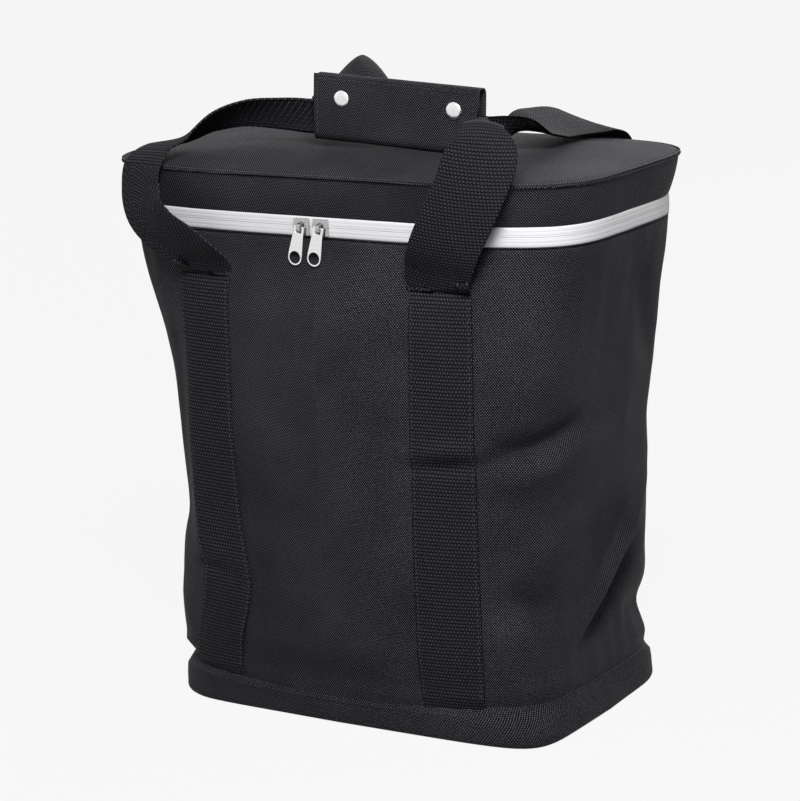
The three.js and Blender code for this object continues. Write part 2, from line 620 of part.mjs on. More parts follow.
function pull(x) {
  const shape = new THREE.Shape();
  const low = -PULL_LENGTH;
  const ring = 5.6;
  shape.moveTo(-3.1, 0.8);
  shape.lineTo(3.1, 0.8);
  shape.lineTo(3.4, -6);
  shape.lineTo(ring, low + ring + 3);
  shape.absarc(0, low + ring, ring, 0, -Math.PI, true);
  shape.lineTo(-ring, low + ring + 3);
  shape.lineTo(-3.4, -6);
  shape.lineTo(-3.1, 0.8);
  const eye = new THREE.Path();
  eye.moveTo(-1.8, -0.7);
  eye.lineTo(-1.8, -4.2);
  eye.lineTo(1.8, -4.2);
  eye.lineTo(1.8, -0.7);
  eye.lineTo(-1.8, -0.7);
  const hole = new THREE.Path();
  hole.absarc(0, low + ring + 0.1, 4.5, 0, FULL, false);
  shape.holes.push(eye, hole);
  const geometry = new THREE.ExtrudeGeometry(shape, { depth: 1.4, bevelEnabled: false, curveSegments: 10 });
  geometry.rotateX(Math.PI / 2);
  geometry.translate(x, barDepth + 0.7, barHeight);
  return fromManifold(toManifold(geometry));
}
for (const [hand, x] of [['left', SLIDER_LEFT_X], ['right', SLIDER_RIGHT_X]]) {
  place(`zip_slider_${hand}`, slider(x), NICKEL);
  place(`zip_pull_${hand}`, pull(x), NICKEL);
}

export default group;
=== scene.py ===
import math

import bmesh
import bpy
from bpy.props import FloatProperty, FloatVectorProperty, IntProperty, PointerProperty
from mathutils import Matrix, Vector, noise


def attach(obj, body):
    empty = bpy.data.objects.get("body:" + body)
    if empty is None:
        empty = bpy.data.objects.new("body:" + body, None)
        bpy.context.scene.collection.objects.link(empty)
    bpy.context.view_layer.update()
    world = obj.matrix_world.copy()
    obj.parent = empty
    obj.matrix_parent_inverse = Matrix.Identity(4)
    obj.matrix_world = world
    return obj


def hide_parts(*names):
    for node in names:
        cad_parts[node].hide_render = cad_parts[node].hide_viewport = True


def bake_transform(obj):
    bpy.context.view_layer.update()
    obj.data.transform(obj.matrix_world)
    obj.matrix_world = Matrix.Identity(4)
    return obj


bl_info = {
    "name": "Cooler Bag",
    "version": (1, 0, 0),
    "blender": (4, 5, 0),
    "location": "View3D > Sidebar > Cooler Bag",
    "description": "Dresses the insulated basket bag in cloth, webbing, zip and metal",
    "category": "Object",
}

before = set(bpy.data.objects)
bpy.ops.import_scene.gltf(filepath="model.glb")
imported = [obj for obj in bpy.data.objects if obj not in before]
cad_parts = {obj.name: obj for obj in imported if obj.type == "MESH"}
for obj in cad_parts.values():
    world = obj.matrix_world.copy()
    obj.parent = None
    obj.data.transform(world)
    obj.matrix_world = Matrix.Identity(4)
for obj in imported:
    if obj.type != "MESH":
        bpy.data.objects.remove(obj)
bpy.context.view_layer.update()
MM = 0.001
TURN = 2 * math.pi
ROUND = (-math.pi / 2, 1.5 * math.pi)
REAR_START = math.radians(131.64)
REAR_END = math.radians(48.36)

# Sizes of the bag in millimetres; a plan is half the length and half the depth
CORNER_POWER = 4.5
GROUND_PLAN = (168, 112)
FOOT_PLAN = (162, 111)
ZIP_PLAN = (192, 106.5)
LID_PLAN = (199, 113)
UNDER_PLAN = (163.5, 108)
COVER_PLAN = (200.2, 114.2)
LINER_FLOOR_PLAN = (154.5, 103)
LID_FILM_PLAN = (194, 108)
BAND_TOP = 25.0
ZIP_LOW = 360.0
ZIP_HIGH = 373.0
ZIP_MIDDLE = (ZIP_LOW + ZIP_HIGH) / 2
LID_SEAM = 403.0
LID_CROWN = 10.0
FRONT_FULLNESS = 9.0
BACK_FULLNESS = 6.0
FRONT_PUFF = 4.8
BACK_PUFF = 3.0
STRAP_X = 97.0
LOOP_WIDTH = 50
SEWN_WIDTH = 47.0
SEWN_TOP = 328.0
SEWN_STITCH_X = 21.2
BASE_STITCH_HEIGHT = 22.6
BASE_STITCH_OUT = 1.6
LINER_LOW = 11.5
LINER_HIGH = 359.5
LINER_INSET = 8.0
WRAP_CENTRE = Vector((27.4, -40, 439.6))
WRAP_TURN = Matrix.Rotation(math.radians(3), 3, "Y")
WRAP_LENGTH = 135
WRAP_HALF_HEIGHT = 23
WRAP_BEND = 4
WRAP_FRONT = -4
WRAP_BACK = 5.6
FLAP_LOW = -23.6
FLAP_HEIGHT = 47.4
FLAP_STITCH_Y = -7.85
SNAP_MIDDLE = 2.7
SNAP_REACH = 46.5
SNAP_Y = -7.95
SNAP_Z = 6.9
SLIDER_X = (("left", -15), ("right", 1))
PULL_PIVOT_Y = -111.2
PULL_SHOULDER = 349.5

# Plans at half height, by which the columns of a sheet are spaced
WALL_PLAN = (178, 109)
BASE_PLAN = (165, 112)
LID_BAND_PLAN = (196, 110)
LINER_PLAN = (170, 100)

# Thicknesses and depths in metres, and the spacing of stitches in stitch lengths
SLACK_DEPTH = 0.0016
STITCH_RADIUS = 0.00035
STITCH_PITCH = 1.35
FILM_THICKNESS = 0.0006
WRAP_THICKNESS = 0.0012

# Profiles: height and distance out from the plan, in millimetres
BASE_PROFILE = [
    (27.4, -1.4), (26.8, -0.5), (25.5, 0.2), (22, 0.8), (17, 1.0), (12, 0.9),
    (7, 0.6), (4, 0.2), (2, -0.6), (0.7, -1.8), (0.15, -3.4), (0.1, -6),
]
RIM_PROFILE = [
    (358.5, 0.2), (359.9, -0.4), (360.3, -2.2), (360.4, -5.0), (360.2, -7.6), (359.2, -8.6), (352, -8.8),
]
ZIP_PROFILE = [
    (359.2, -0.9), (359.7, -0.1), (360.5, 0.2), (361.6, 0.3), (362.5, 0.32), (362.8, 0.26), (363.1, 0.34),
    (364.0, 0.44), (364.9, 0.42), (365.25, 0.3), (365.6, 0.42), (366.1, 0.45), (366.42, 0.25), (366.45, -0.8),
]

# The snap's dome: radius and height, in millimetres
SNAP_PROFILE = [
    (0.0001, 1.75), (1.6, 1.71), (3.2, 1.58), (4.6, 1.32), (5.6, 0.95),
    (6.1, 0.62), (6.35, 0.3), (6.35, 0.0), (0.0001, 0.0),
]

# Folds of the side walls: depth, both ends as y and z, width, and whether the base holds them flat
RIGHT_FOLDS = [
    (7.4, (66, 160), (-44, 66), 9, True),
    (-7.4, (46, 116), (-40, 52), 10.5, True),
    (-7.6, (-112, 208), (-46, 232), 9, False),
    (4.6, (-112, 188), (-10, 222), 11, False),
    (-6.0, (-112, 108), (-60, 92), 13, True),
    (3.6, (-94, 126), (-10, 176), 13, False),
    (-3.6, (10, 346), (66, 240), 15, False),
    (-7.0, (30, 70), (120, 56), 14, False),
    (-3.5, (20, 215), (115, 207), 26, False),
]
LEFT_FOLDS = [
    (-4.5, (-90, 88), (10, 124), 11, True),
    (3.2, (-100, 116), (20, 164), 13, False),
    (-3.2, (-70, 286), (30, 226), 16, False),
]

# Buckles of the front at its webbing: lean, foot, middle and width, then depth, level and width of each wave
FRONT_BUCKLES = [
    (0.1, STRAP_X, 100, 30, [(3.2, 214, 7), (-3.6, 203, 5.5)]),
    (-0.2, -STRAP_X, -100, 28, [(1.6, 118, 8), (-2.0, 106, 6)]),
]

# Carry loop routes: centre, width direction, width and, where there is one, ridge, in millimetres
FRONT_ROUTE = [
    ((-97, -112.2, 329.2), (1, 0, 0), 50),
    ((-97.2, -115, 337), (1, 0, 0), 49),
    ((-107, -120, 348.5), (0.98, -0.2, 0.1), 49),
    ((-126, -121, 358), (0.93, -0.32, 0.2), 49),
    ((-142, -119, 371), (0.94, -0.34, 0.05), 49),
    ((-149, -115, 388), (0.93, -0.36, -0.05), 48),
    ((-149, -110.5, 404.5), (0.89, -0.42, -0.12), 46),
    ((-144, -97.5, 415.5), (0.8, -0.6, 0), 42),
    ((-132, -78, 419.5), (0.52, -0.82, 0.22), 37),
    ((-115, -63, 431), (0.45, -0.73, 0.52), 35),
    ((-96, -51, 435.5), (0.37, -0.59, 0.72), 31),
    ((-70, -44, 435.5), (0.23, -0.36, 0.9), 27.5),
    ((-50, -41.8, 434.8), (0.05, -0.05, 1), 25.5),
    ((-36, -41.8, 434.2), (0.05, 0, 1), 25),
    ((27.4, -41.8, 431), (0.05, 0, 1), 25),
    ((82, -41.8, 428.2), (0.05, 0, 1), 25),
    ((97, -41.8, 427.4), (0.05, 0, 1), 25),
    ((108, -52, 428.5), (-0.2, -0.1, 0.95), 26),
    ((120, -72, 433), (-0.6, -0.3, 0.7), 30),
    ((127, -93, 441), (-0.82, -0.5, 0.25), 30),
    ((135, -108.5, 442.5), (-0.84, -0.46, 0.1), 29),
    ((138.5, -117, 427), (-0.86, -0.36, 0.26), 49),
    ((128, -122, 397), (-0.9, -0.26, 0.3), 50),
    ((109, -121.5, 361), (-0.95, -0.2, 0.2), 50),
    ((97.4, -115.4, 339), (-1, 0, 0), 50),
    ((97, -112.2, 329.2), (-1, 0, 0), 50),
]
BACK_ROUTE = [
    ((-97, 110.6, 329.2), (1, 0, 0), 50),
    ((-97, 116.8, 344), (1, 0, 0), 50),
    ((-97, 120, 372), (1, 0, 0), 50),
    ((-96, 121, 404), (1, 0, 0), 50),
    ((-93, 117, 427), (1, 0.05, 0), 45, 6),
    ((-90, 105, 440), (1, 0.12, 0), 39, 15),
    ((-86, 88, 442), (0.95, 0.3, -0.05), 37, 17),
    ((-80, 64, 437), (0.88, 0.42, -0.2), 37, 14),
    ((-73, 34, 433), (0.65, 0.5, -0.55), 34, 7),
    ((-64, 4, 432.5), (0.25, 0.25, -0.93), 27, 2),
    ((-55, -24, 434), (0.05, 0.1, -1), 25.5),
    ((-47, -36.2, 434.6), (0, 0.02, -1), 25),
    ((-39, -38.2, 434.4), (-0.05, 0, -1), 25),
    ((-28, -38.2, 433.8), (-0.05, 0, -1), 25),
    ((27.4, -38.2, 431), (-0.05, 0, -1), 25),
    ((82, -38.2, 428.2), (-0.05, 0, -1), 25),
    ((95, -38.2, 427.5), (-0.05, 0, -1), 25),
    ((102, -35, 427.2), (-0.05, 0.05, -1), 25),
    ((109, -20, 426), (-0.5, 0.35, -0.75), 30),
    ((110, -2, 424.5), (-0.88, 0.25, 0.05), 39),
    ((106, 24, 425.5), (-0.93, 0.1, 0.36), 46),
    ((103, 54, 423.5), (-0.92, 0.05, 0.38), 47),
    ((103, 84, 420.5), (-0.93, 0.05, 0.34), 49),
    ((106, 105, 415), (-0.97, 0.05, 0.2), 50),
    ((107.5, 118.5, 402), (-0.98, 0, 0.1), 50),
    ((103.5, 121, 376), (-0.98, 0, 0.12), 50),
    ((98, 116.8, 346), (-1, 0, 0.05), 50),
    ((97, 110.6, 329.2), (-1, 0, 0), 50),
]

# Carry loops: name, route, stations of the two folds, side of the bag, and where the bow starts, in metres
CARRY_LOOPS = [
    ("front", FRONT_ROUTE, (6, 20), -1, 0.0985),
    ("back", BACK_ROUTE, (5, 23), 1, 0.1025),
]

# Camera and lamps, in metres, degrees, pixels and watts
SENSOR = 36.0
FOCAL_PIXELS = 3033.6
PICTURE_PIXELS = 801
CAMERA_ANGLES = (31.6, 13.1, -2.1)
CAMERA_TARGET = Vector((-0.0054, 0, 0.2175))
CAMERA_DISTANCE = 2.261
FLOOR_SEEN = 0.93
FLOOR_SHADE = (0.4, 0.4, 0.4, 1)
SKY_LIGHT = 0.085
LAMP_AIM = Vector((0, 0, 0.25))
LAMPS = [
    ("key", (0.56, -0.82, 1.24), 0.45, 19.5),
    ("left_fill", (-1.9, -1.2, 0.9), 1.2, 0.5),
    ("back_fill", (-0.4, 2.2, 1.2), 1.2, 8),
]


def length_property(name, description, default):
    return FloatProperty(name=name, description=description, default=default, unit="LENGTH")


def colour_property(name, description, default):
    return FloatVectorProperty(name=name, description=description, size=3, subtype="COLOR", default=default)


class CoolerBagSizes(bpy.types.PropertyGroup):
    webbing: length_property("Webbing", "Thickness of the carry webbing", 0.0017)
    rib: length_property("Rib", "Width of one rib across the webbing", 0.0024)
    cloth: length_property("Cloth", "Thickness of the outer cloth", 0.0010)
    thread: length_property("Thread", "Spacing of the cloth's weave", 0.00092)
    slack: length_property("Slack", "Depth of the soft dents in the walls", SLACK_DEPTH)
    stitch: length_property("Stitch", "Length of one stitch", 0.0030)
    around: IntProperty(name="Around", description="Columns of cloth round the bag", default=256)


class CoolerBagColours(bpy.types.PropertyGroup):
    cloth: colour_property("Cloth", "Black polyester", (0.0216, 0.0207, 0.0246))
    webbing: colour_property("Webbing", "Black webbing", (0.0174, 0.0166, 0.0198))
    zip: colour_property("Zip", "White zip tape", (0.86, 0.855, 0.88))
    film: colour_property("Film", "Silver lining film", (0.5, 0.51, 0.52))
    metal: colour_property("Metal", "Nickel plate", (0.84, 0.84, 0.85))
    floor: colour_property("Floor", "Studio floor", (0.98, 0.98, 0.98))


def sizes():
    return bpy.context.scene.cooler_bag_sizes


def colours():
    return bpy.context.scene.cooler_bag_colours


# Shape of the bag
def signed_power(value, power):
    return math.copysign(abs(value) ** power, value)


def outline(a, b, angle, n=CORNER_POWER):
    """A point of the rounded oblong that has the given half lengths."""
    c, s = math.cos(angle), math.sin(angle)
    reach = (abs(c) ** n + abs(s) ** n) ** (-1 / n)
    return a * reach * c, b * reach * s


def running_lengths(points):
    """The length of a line of points up to each of them."""
    run = [0.0]
    for p, q in zip(points, points[1:]):
        run.append(run[-1] + math.dist(p, q))
    return run


def spots_along(run, targets):
    """For each target length, the stretch that it lies in and the share of that stretch before it."""
    k = 0
    for target in targets:
        while k < len(run) - 2 and run[k + 1] < target:
            k += 1
        span = run[k + 1] - run[k]
        yield k, (target - run[k]) / span if span else 0


def even_angles(a, b, start, end, count):
    """Angles that are evenly spaced along the outline, and its length."""
    steps = 2000
    walk = [start + (end - start) * i / steps for i in range(steps + 1)]
    run = running_lengths([outline(a, b, t) for t in walk])
    targets = [run[-1] * i / count for i in range(count + 1)]
    angles = [walk[k] + (walk[k + 1] - walk[k]) * share for k, share in spots_along(run, targets)]
    return angles, run[-1]


def plan_between(low, high, share):
    return tuple(p + (q - p) * share for p, q in zip(low, high))


def body_size(z):
    u = z / ZIP_LOW
    return plan_between(FOOT_PLAN, ZIP_PLAN, u * u)[0], plan_between(FOOT_PLAN, ZIP_PLAN, u)[1]


def lid_size(z):
    return plan_between(ZIP_PLAN, LID_PLAN, (z - ZIP_HIGH) / (LID_SEAM - ZIP_HIGH))


def band_size(z):
    return plan_between(GROUND_PLAN, body_size(BAND_TOP), z / BAND_TOP)


def slope_at(x, y, a, b):
    """The level outward direction at a point of an outline."""
    n = CORNER_POWER - 1
    return Vector((signed_power(x / a, n) / a, signed_power(y / b, n) / b, 0)).normalized()


def outward(a, b, angle):
    return slope_at(*outline(a, b, angle), a, b)


def off_outline(plan, angle, z, out):
    """A point at a height that stands out from the outline of a plan."""
    return Vector((*outline(*plan, angle), z)) + outward(*plan, angle) * out


def bump_at(value, centre, width):
    t = (value - centre) / width
    return math.exp(-t * t)


def smooth_step(value):
    t = min(1, max(0, value))
    return t * t * (3 - 2 * t)


def fold(y, z, start, end, width):
    """How near a point is to the line of a fold, from 0 to 1."""
    ay, az = start
    dy, dz = end[0] - ay, end[1] - az
    share = ((y - ay) * dy + (z - az) * dz) / (dy * dy + dz * dz)
    near = min(1, max(0, share))
    gap = math.hypot(y - ay - dy * near, z - az - dz * near)
    return bump_at(gap, 0, width) * min(1, 0.15 + 4 * near * (1 - near))


def drawn_in(x, z):
    """How far the left side of the body stands in from its plain outline, in millimetres."""
    waist = 12.4 * smooth_step((352 - z) / 115) - 11.5 * smooth_step((145 - z) / 60)
    return (waist + 6.1 * smooth_step((38 - z) / 8)) * smooth_step((-112 - x) / 34)


def base_rise(x, y):
    """How tall the base band is at a point round it, against its plain height."""
    middle = max(0, 1 - (x / 125) ** 2) if y < 0 else 0
    return 1 + 0.24 * min(1, abs(x) / 160) ** 5 - 0.2 * middle


def wall_slack(x, y, z):
    """Fullness, dents and creases of the standing walls, in millimetres along the outward direction."""
    low, high = smooth_step((z - 24) / 46), smooth_step((ZIP_LOW - z) / 45)
    swell = low * smooth_step((354 - z) / 60)
    p = Vector((x, y, z))
    depth = 1.5 * noise.noise(p * 0.011 + Vector((3.1, 7.7, 1.3)))
    depth += 0.8 * noise.noise(Vector((x * 0.03, y * 0.03, z * 0.017)) + Vector((9.2, 4.4, 8.8)))
    depth += 0.35 * noise.noise(p * 0.055 + Vector((1.2, 0.4, 5.8)))
    depth *= low * high
    depth += max(0, 1 - (x / 158.8) ** 2) * swell * (FRONT_FULLNESS if y < 0 else BACK_FULLNESS)
    between = max(0, 1 - (x / 73) ** 2)
    beyond = 0.7 * smooth_step((abs(x) - 121) / 36) * smooth_step((60 - abs(abs(y) - 110)) / 60)
    depth += (between + beyond) * swell * (FRONT_PUFF if y < 0 else BACK_PUFF)
    ripple = noise.noise(Vector((x * 0.07, y * 0.07, z * 0.02)) + Vector((2, 5, 7)))
    corner = smooth_step((abs(x) - 110) / 50)
    depth += 1.5 * ripple * corner * smooth_step((z - 250) / 80) * smooth_step((359 - z) / 14)
    depth += 1.1 * ripple * corner * smooth_step((120 - z) / 70) * smooth_step((z - BAND_TOP) / 12)
    depth -= drawn_in(x, z)
    depth += 1.3 * bump_at(z, 26 * base_rise(x, y) + 7, 6)
    for sign, folds in ((1, RIGHT_FOLDS), (-1, LEFT_FOLDS)):
        side = smooth_step((sign * x - 119) / 24)
        if side:
            for deep, start, end, width, held in folds:
                depth += side * deep * fold(y, z, start, end, width) * (low if held else 1)
    if y < 0:
        for lean, foot, middle, width, waves in FRONT_BUCKLES:
            leaning = z - lean * (x - foot)
            buckle = sum(deep * bump_at(leaning, level, wide) for deep, level, wide in waves)
            depth += buckle * bump_at(x, middle, width)
    return depth * sizes().slack / SLACK_DEPTH


# Meshes
def new_piece(name, bm):
    mesh = bpy.data.meshes.new(name)
    bm.to_mesh(mesh)
    bm.free()
    piece = bpy.data.objects.new(name, mesh)
    bpy.context.scene.collection.objects.link(piece)
    return piece


def shade_smooth(piece, angle=40):
    for face in piece.data.polygons:
        face.use_smooth = True
    piece.data.set_sharp_from_angle(angle=math.radians(angle))


def formed_sheet(name, columns, rows, place, thickness, close=False, offset=-1.0):
    """A sheet of cloth: a grid whose points are carried to their place, with a UV map in metres."""
    bm = bmesh.new()
    bmesh.ops.create_grid(bm, x_segments=columns, y_segments=rows, size=0.5)
    layer = bm.loops.layers.uv.new("cloth")
    spots = {}
    for vert in bm.verts:
        u = round((vert.co.x + 0.5) * columns)
        v = round((vert.co.y + 0.5) * rows)
        point, uv = place(u, v)
        spots[vert] = (Vector(point) * MM, uv)
    for face in bm.faces:
        for loop in face.loops:
            loop[layer].uv = [value * MM for value in spots[loop.vert][1]]
    for vert, (point, _) in spots.items():
        vert.co = point
    if close:
        bmesh.ops.remove_doubles(bm, verts=bm.verts, dist=1e-6)
    piece = new_piece(name, bm)
    wall = piece.modifiers.new("thickness", "SOLIDIFY")
    wall.thickness = thickness
    wall.offset = offset
    wall.use_even_offset = False
    shade_smooth(piece)
    return piece


def settle(piece):
    """Applies a piece's modifiers, so that its mesh is final."""
    bpy.context.view_layer.update()
    graph = bpy.context.evaluated_depsgraph_get()
    mesh = bpy.data.meshes.new_from_object(piece.evaluated_get(graph))
    piece.modifiers.clear()
    piece.data = mesh


def face_outwards(piece, test):
    """Turns a sheet's faces over where most of them look the wrong way."""
    mesh = piece.data
    votes = sum(1 if test(f.center, f.normal) > 0 else -1 for f in mesh.polygons)
    if votes < 0:
        mesh.flip_normals()


def from_the_middle(centre, normal):
    """Above 0 for a face that looks away from the bag's upright middle line."""
    return centre.x * normal.x + centre.y * normal.y


def dress(piece, material, body=None, replaced=()):
    piece.data.materials.clear()
    piece.data.materials.append(material)
    if body:
        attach(piece, body)
    if replaced:
        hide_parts(*replaced)


# Finishes
def add_node(tree, kind, values=None):
    """A node of a kind, with values for some of its inputs."""
    node = tree.nodes.new(kind)
    for name, value in (values or {}).items():
        node.inputs[name].default_value = value
    return node


def node_material(name, values=None):
    material = bpy.data.materials.new(name)
    material.use_nodes = True
    tree = material.node_tree
    tree.nodes.clear()
    out = add_node(tree, "ShaderNodeOutputMaterial")
    shader = add_node(tree, "ShaderNodeBsdfPrincipled", values)
    tree.links.new(shader.outputs["BSDF"], out.inputs["Surface"])
    return material, tree, shader


def add_math(tree, kind, a, b=None):
    node = tree.nodes.new("ShaderNodeMath")
    node.operation = kind
    for socket, value in zip(node.inputs, (a, b)):
        if value is None:
            continue
        if isinstance(value, (int, float)):
            socket.default_value = value
        else:
            tree.links.new(value, socket)
    return node.outputs[0]


def cloth_axes(tree):
    """The UV map of a sheet of cloth, whole and as its two axes."""
    uv = tree.nodes.new("ShaderNodeUVMap")
    uv.uv_map = "cloth"
    split = tree.nodes.new("ShaderNodeSeparateXYZ")
    tree.links.new(uv.outputs["UV"], split.inputs[0])
    return uv.outputs["UV"], split.outputs["X"], split.outputs["Y"]


def tinted(tree, shader, mask, colour, dark, light):
    """Colour that runs from a dark share of itself to a light one."""
    ramp = tree.nodes.new("ShaderNodeMix")
    ramp.data_type = "RGBA"
    for socket, share in ((6, dark), (7, light)):
        ramp.inputs[socket].default_value = (*(min(1, c * share) for c in colour), 1)
    tree.links.new(mask, ramp.inputs[0])
    tree.links.new(ramp.outputs[2], shader.inputs["Base Color"])


def glossed(tree, shader, mask, low, high):
    """Roughness that runs from one value to another with a mask."""
    spread = add_node(tree, "ShaderNodeMapRange", {"To Min": low, "To Max": high})
    tree.links.new(mask, spread.inputs["Value"])
    tree.links.new(spread.outputs["Result"], shader.inputs["Roughness"])


def bumped(tree, shader, height, distance, strength):
    bump = add_node(tree, "ShaderNodeBump", {"Strength": strength, "Distance": distance})
    tree.links.new(height, bump.inputs["Height"])
    tree.links.new(bump.outputs["Normal"], shader.inputs["Normal"])


def scaled(tree, value, share, extra=None):
    """A value times a share, with an amount added where one is given."""
    part = add_math(tree, "MULTIPLY", value, share)
    return part if extra is None else add_math(tree, "ADD", part, extra)


def rounded(tree, value, share):
    """A row of round crowns along a value."""
    return add_math(tree, "ABSOLUTE", add_math(tree, "SINE", scaled(tree, value, share)))


def weave_cells(tree, across, along, width, length):
    """Crossings of a weave: which thread is on top, and how near a point is to the middle of it."""
    cu = add_math(tree, "DIVIDE", across, width)
    cv = add_math(tree, "DIVIDE", along, length)
    step = add_math(tree, "ADD", add_math(tree, "FLOOR", cu), add_math(tree, "FLOOR", cv))
    top = scaled(tree, add_math(tree, "FRACT", scaled(tree, step, 0.5)), 2.0)
    return top, rounded(tree, cu, math.pi), rounded(tree, cv, math.pi)


def object_spot(tree):
    return tree.nodes.new("ShaderNodeTexCoord").outputs["Object"]


def cell_noise(tree, scale, feature="F1"):
    cells = add_node(tree, "ShaderNodeTexVoronoi", {"Scale": scale})
    cells.feature = feature
    tree.links.new(object_spot(tree), cells.inputs["Vector"])
    return cells.outputs["Distance"]


def grain_noise(tree, vector, scale, detail=2.0):
    grain = add_node(tree, "ShaderNodeTexNoise", {"Scale": scale, "Detail": detail})
    tree.links.new(vector, grain.inputs["Vector"])
    return grain.outputs["Fac"]


def woven_cloth(name):
    """Black polyester: plain weave with a painted highlight on the thread crowns, painted shade in the black
    gaps, and uneven dye.
    """
    material, tree, shader = node_material(name, {"Specular IOR Level": 0.04})
    uv, u, v = cloth_axes(tree)
    top, round_u, round_v = weave_cells(tree, u, v, sizes().thread, sizes().thread * 1.17)
    crown = add_math(tree, "POWER", scaled(tree, round_u, round_v), 1.6)
    # Where a thread lies on top, its crown carries a painted highlight, and the gaps between threads get painted
    # shade.
    crown_and_painted_highlight = scaled(tree, crown, scaled(tree, top, 0.92, 0.08))
    grain = grain_noise(tree, uv, 420, 3)
    cloud = grain_noise(tree, uv, 16)
    uneven = scaled(tree, grain, 0.7, scaled(tree, cloud, 0.9))
    # Colour runs from 0.06 to 12.4 times the cloth's own: painted shade in the gaps and a painted highlight on
    # the crowns, scaled by the uneven dye.
    tinted(tree, shader, scaled(tree, crown_and_painted_highlight, uneven), colours().cloth, 0.06, 12.4)
    glossed(tree, shader, crown_and_painted_highlight, 0.6, 0.36)
    bumped(tree, shader, scaled(tree, top, 0.4, crown), 0.00025, 0.8)
    return material


def ribbed_webbing(name):
    """Black webbing: columns of long beads, every second one half a bead higher, with a painted highlight on the
    beads and painted shade in the rows between them.
    """
    material, tree, shader = node_material(name, {"Specular IOR Level": 0.04})
    uv, u, v = cloth_axes(tree)
    top, round_u, round_v = weave_cells(tree, u, v, sizes().rib * 0.5, sizes().rib * 1.07)
    bead = scaled(tree, add_math(tree, "POWER", round_u, 0.7), round_v)
    # The beads carry a painted highlight, the higher ones most, and the rows between them get painted shade.
    crown_and_painted_highlight = scaled(tree, bead, scaled(tree, top, 0.6, 0.4))
    uneven = add_math(tree, "ADD", grain_noise(tree, uv, 700), 0.45)
    # Colour runs from 0.05 to 4.8 times the webbing's own: painted shade between the beads and a painted
    # highlight on them.
    tinted(tree, shader, scaled(tree, crown_and_painted_highlight, uneven), colours().webbing, 0.05, 4.8)
    glossed(tree, shader, crown_and_painted_highlight, 0.65, 0.38)
    bumped(tree, shader, crown_and_painted_highlight, 0.0007, 0.9)
    return material


def sewing_thread(name):
    """Black sewing thread with a fine twist."""
    material, tree, shader = node_material(name, {"Roughness": 0.5})
    twist = grain_noise(tree, object_spot(tree), 1600)
    tinted(tree, shader, twist, colours().webbing, 0.5, 2.2)
    bumped(tree, shader, twist, 0.0001, 0.5)
    return material


def zip_tape(name):
    """White zip: fine cross ribs on the tape and coil, a little darker between the ribs as painted shade."""
    material, tree, shader = node_material(name, {"Roughness": 0.5})
    uv, u, _ = cloth_axes(tree)
    cross = rounded(tree, u, math.pi / 0.0014)
    mask = scaled(tree, cross, 0.5, scaled(tree, grain_noise(tree, uv, 260), 0.5))
    # Up to five per cent darker in the grooves between the ribs as painted shade, mixed with random grain.
    tinted(tree, shader, mask, colours().zip, 0.95, 1)
    bumped(tree, shader, cross, 0.00006, 0.4)
    return material


def nickel_plate(name, rough=0.2, shade=1.0):
    """Bright nickel with faint polishing marks; a shade below 1 darkens the same plate as painted shade."""
    material, tree, shader = node_material(name, {"Metallic": 1.0})
    marks = grain_noise(tree, object_spot(tree), 900, 4)
    # A shade below 1 gives a painted-shade copy of the same nickel.
    tinted(tree, shader, marks, colours().metal, 0.88 * shade, 1.1 * shade)
    glossed(tree, shader, marks, rough - 0.06, rough + 0.1)
    bumped(tree, shader, marks, 0.00003, 0.4)
    return material


def silver_film(name):
    """Silvered lining film with soft crinkles."""
    material, tree, shader = node_material(name, {"Metallic": 0.75, "Roughness": 0.36})
    crinkle = cell_noise(tree, 55, "SMOOTH_F1")
    tinted(tree, shader, crinkle, colours().film, 0.85, 1.1)
    bumped(tree, shader, crinkle, 0.0008, 0.5)
    return material


def foam_finish(name, colour):
    """Fine-celled foam or stiff board."""
    material, tree, shader = node_material(name, {"Roughness": 0.85})
    cells = cell_noise(tree, 700)
    tinted(tree, shader, cells, colour, 0.85, 1)
    bumped(tree, shader, cells, 0.0003, 0.5)
    return material


def finish(name, make, *args):
    return bpy.data.materials.get(name) or make(name, *args)


def dress_cloth(piece, body, *replaced):
    dress(piece, finish("black_polyester", woven_cloth), body, replaced)


def dress_webbing(piece, body, *replaced):
    dress(piece, finish("ribbed_carry_webbing", ribbed_webbing), body, replaced)


# Stitches
def stitch_line(bm, points, normal_at, length):
    """Small raised stitches along a line of points given in metres."""
    run = running_lengths(points)
    count = int(run[-1] / (length * STITCH_PITCH))
    targets = [(i + 0.5) * run[-1] / count for i in range(count)]
    for k, share in spots_along(run, targets):
        centre = points[k].lerp(points[k + 1], share)
        along = (points[k + 1] - points[k]).normalized()
        face = normal_at(centre)
        side = along.cross(face).normalized()
        made = bmesh.ops.create_icosphere(bm, subdivisions=1, radius=1.0)
        turn = Matrix((along * length * 0.5, side * STITCH_RADIUS, face * STITCH_RADIUS)).transposed().to_4x4()
        turn.translation = centre
        bmesh.ops.transform(bm, matrix=turn, verts=made["verts"])


def stitched(name, lines, body):
    bm = bmesh.new()
    for points, normal_at in lines:
        stitch_line(bm, points, normal_at, sizes().stitch)
    bmesh.ops.recalc_face_normals(bm, faces=bm.faces)
    piece = new_piece(name, bm)
    shade_smooth(piece, 180)
    dress(piece, finish("black_thread", sewing_thread), body)


# Walls
def wall_point(angle, z, out):
    plan = body_size(z)
    return off_outline(plan, angle, z, wall_slack(*outline(*plan, angle), z) + out)


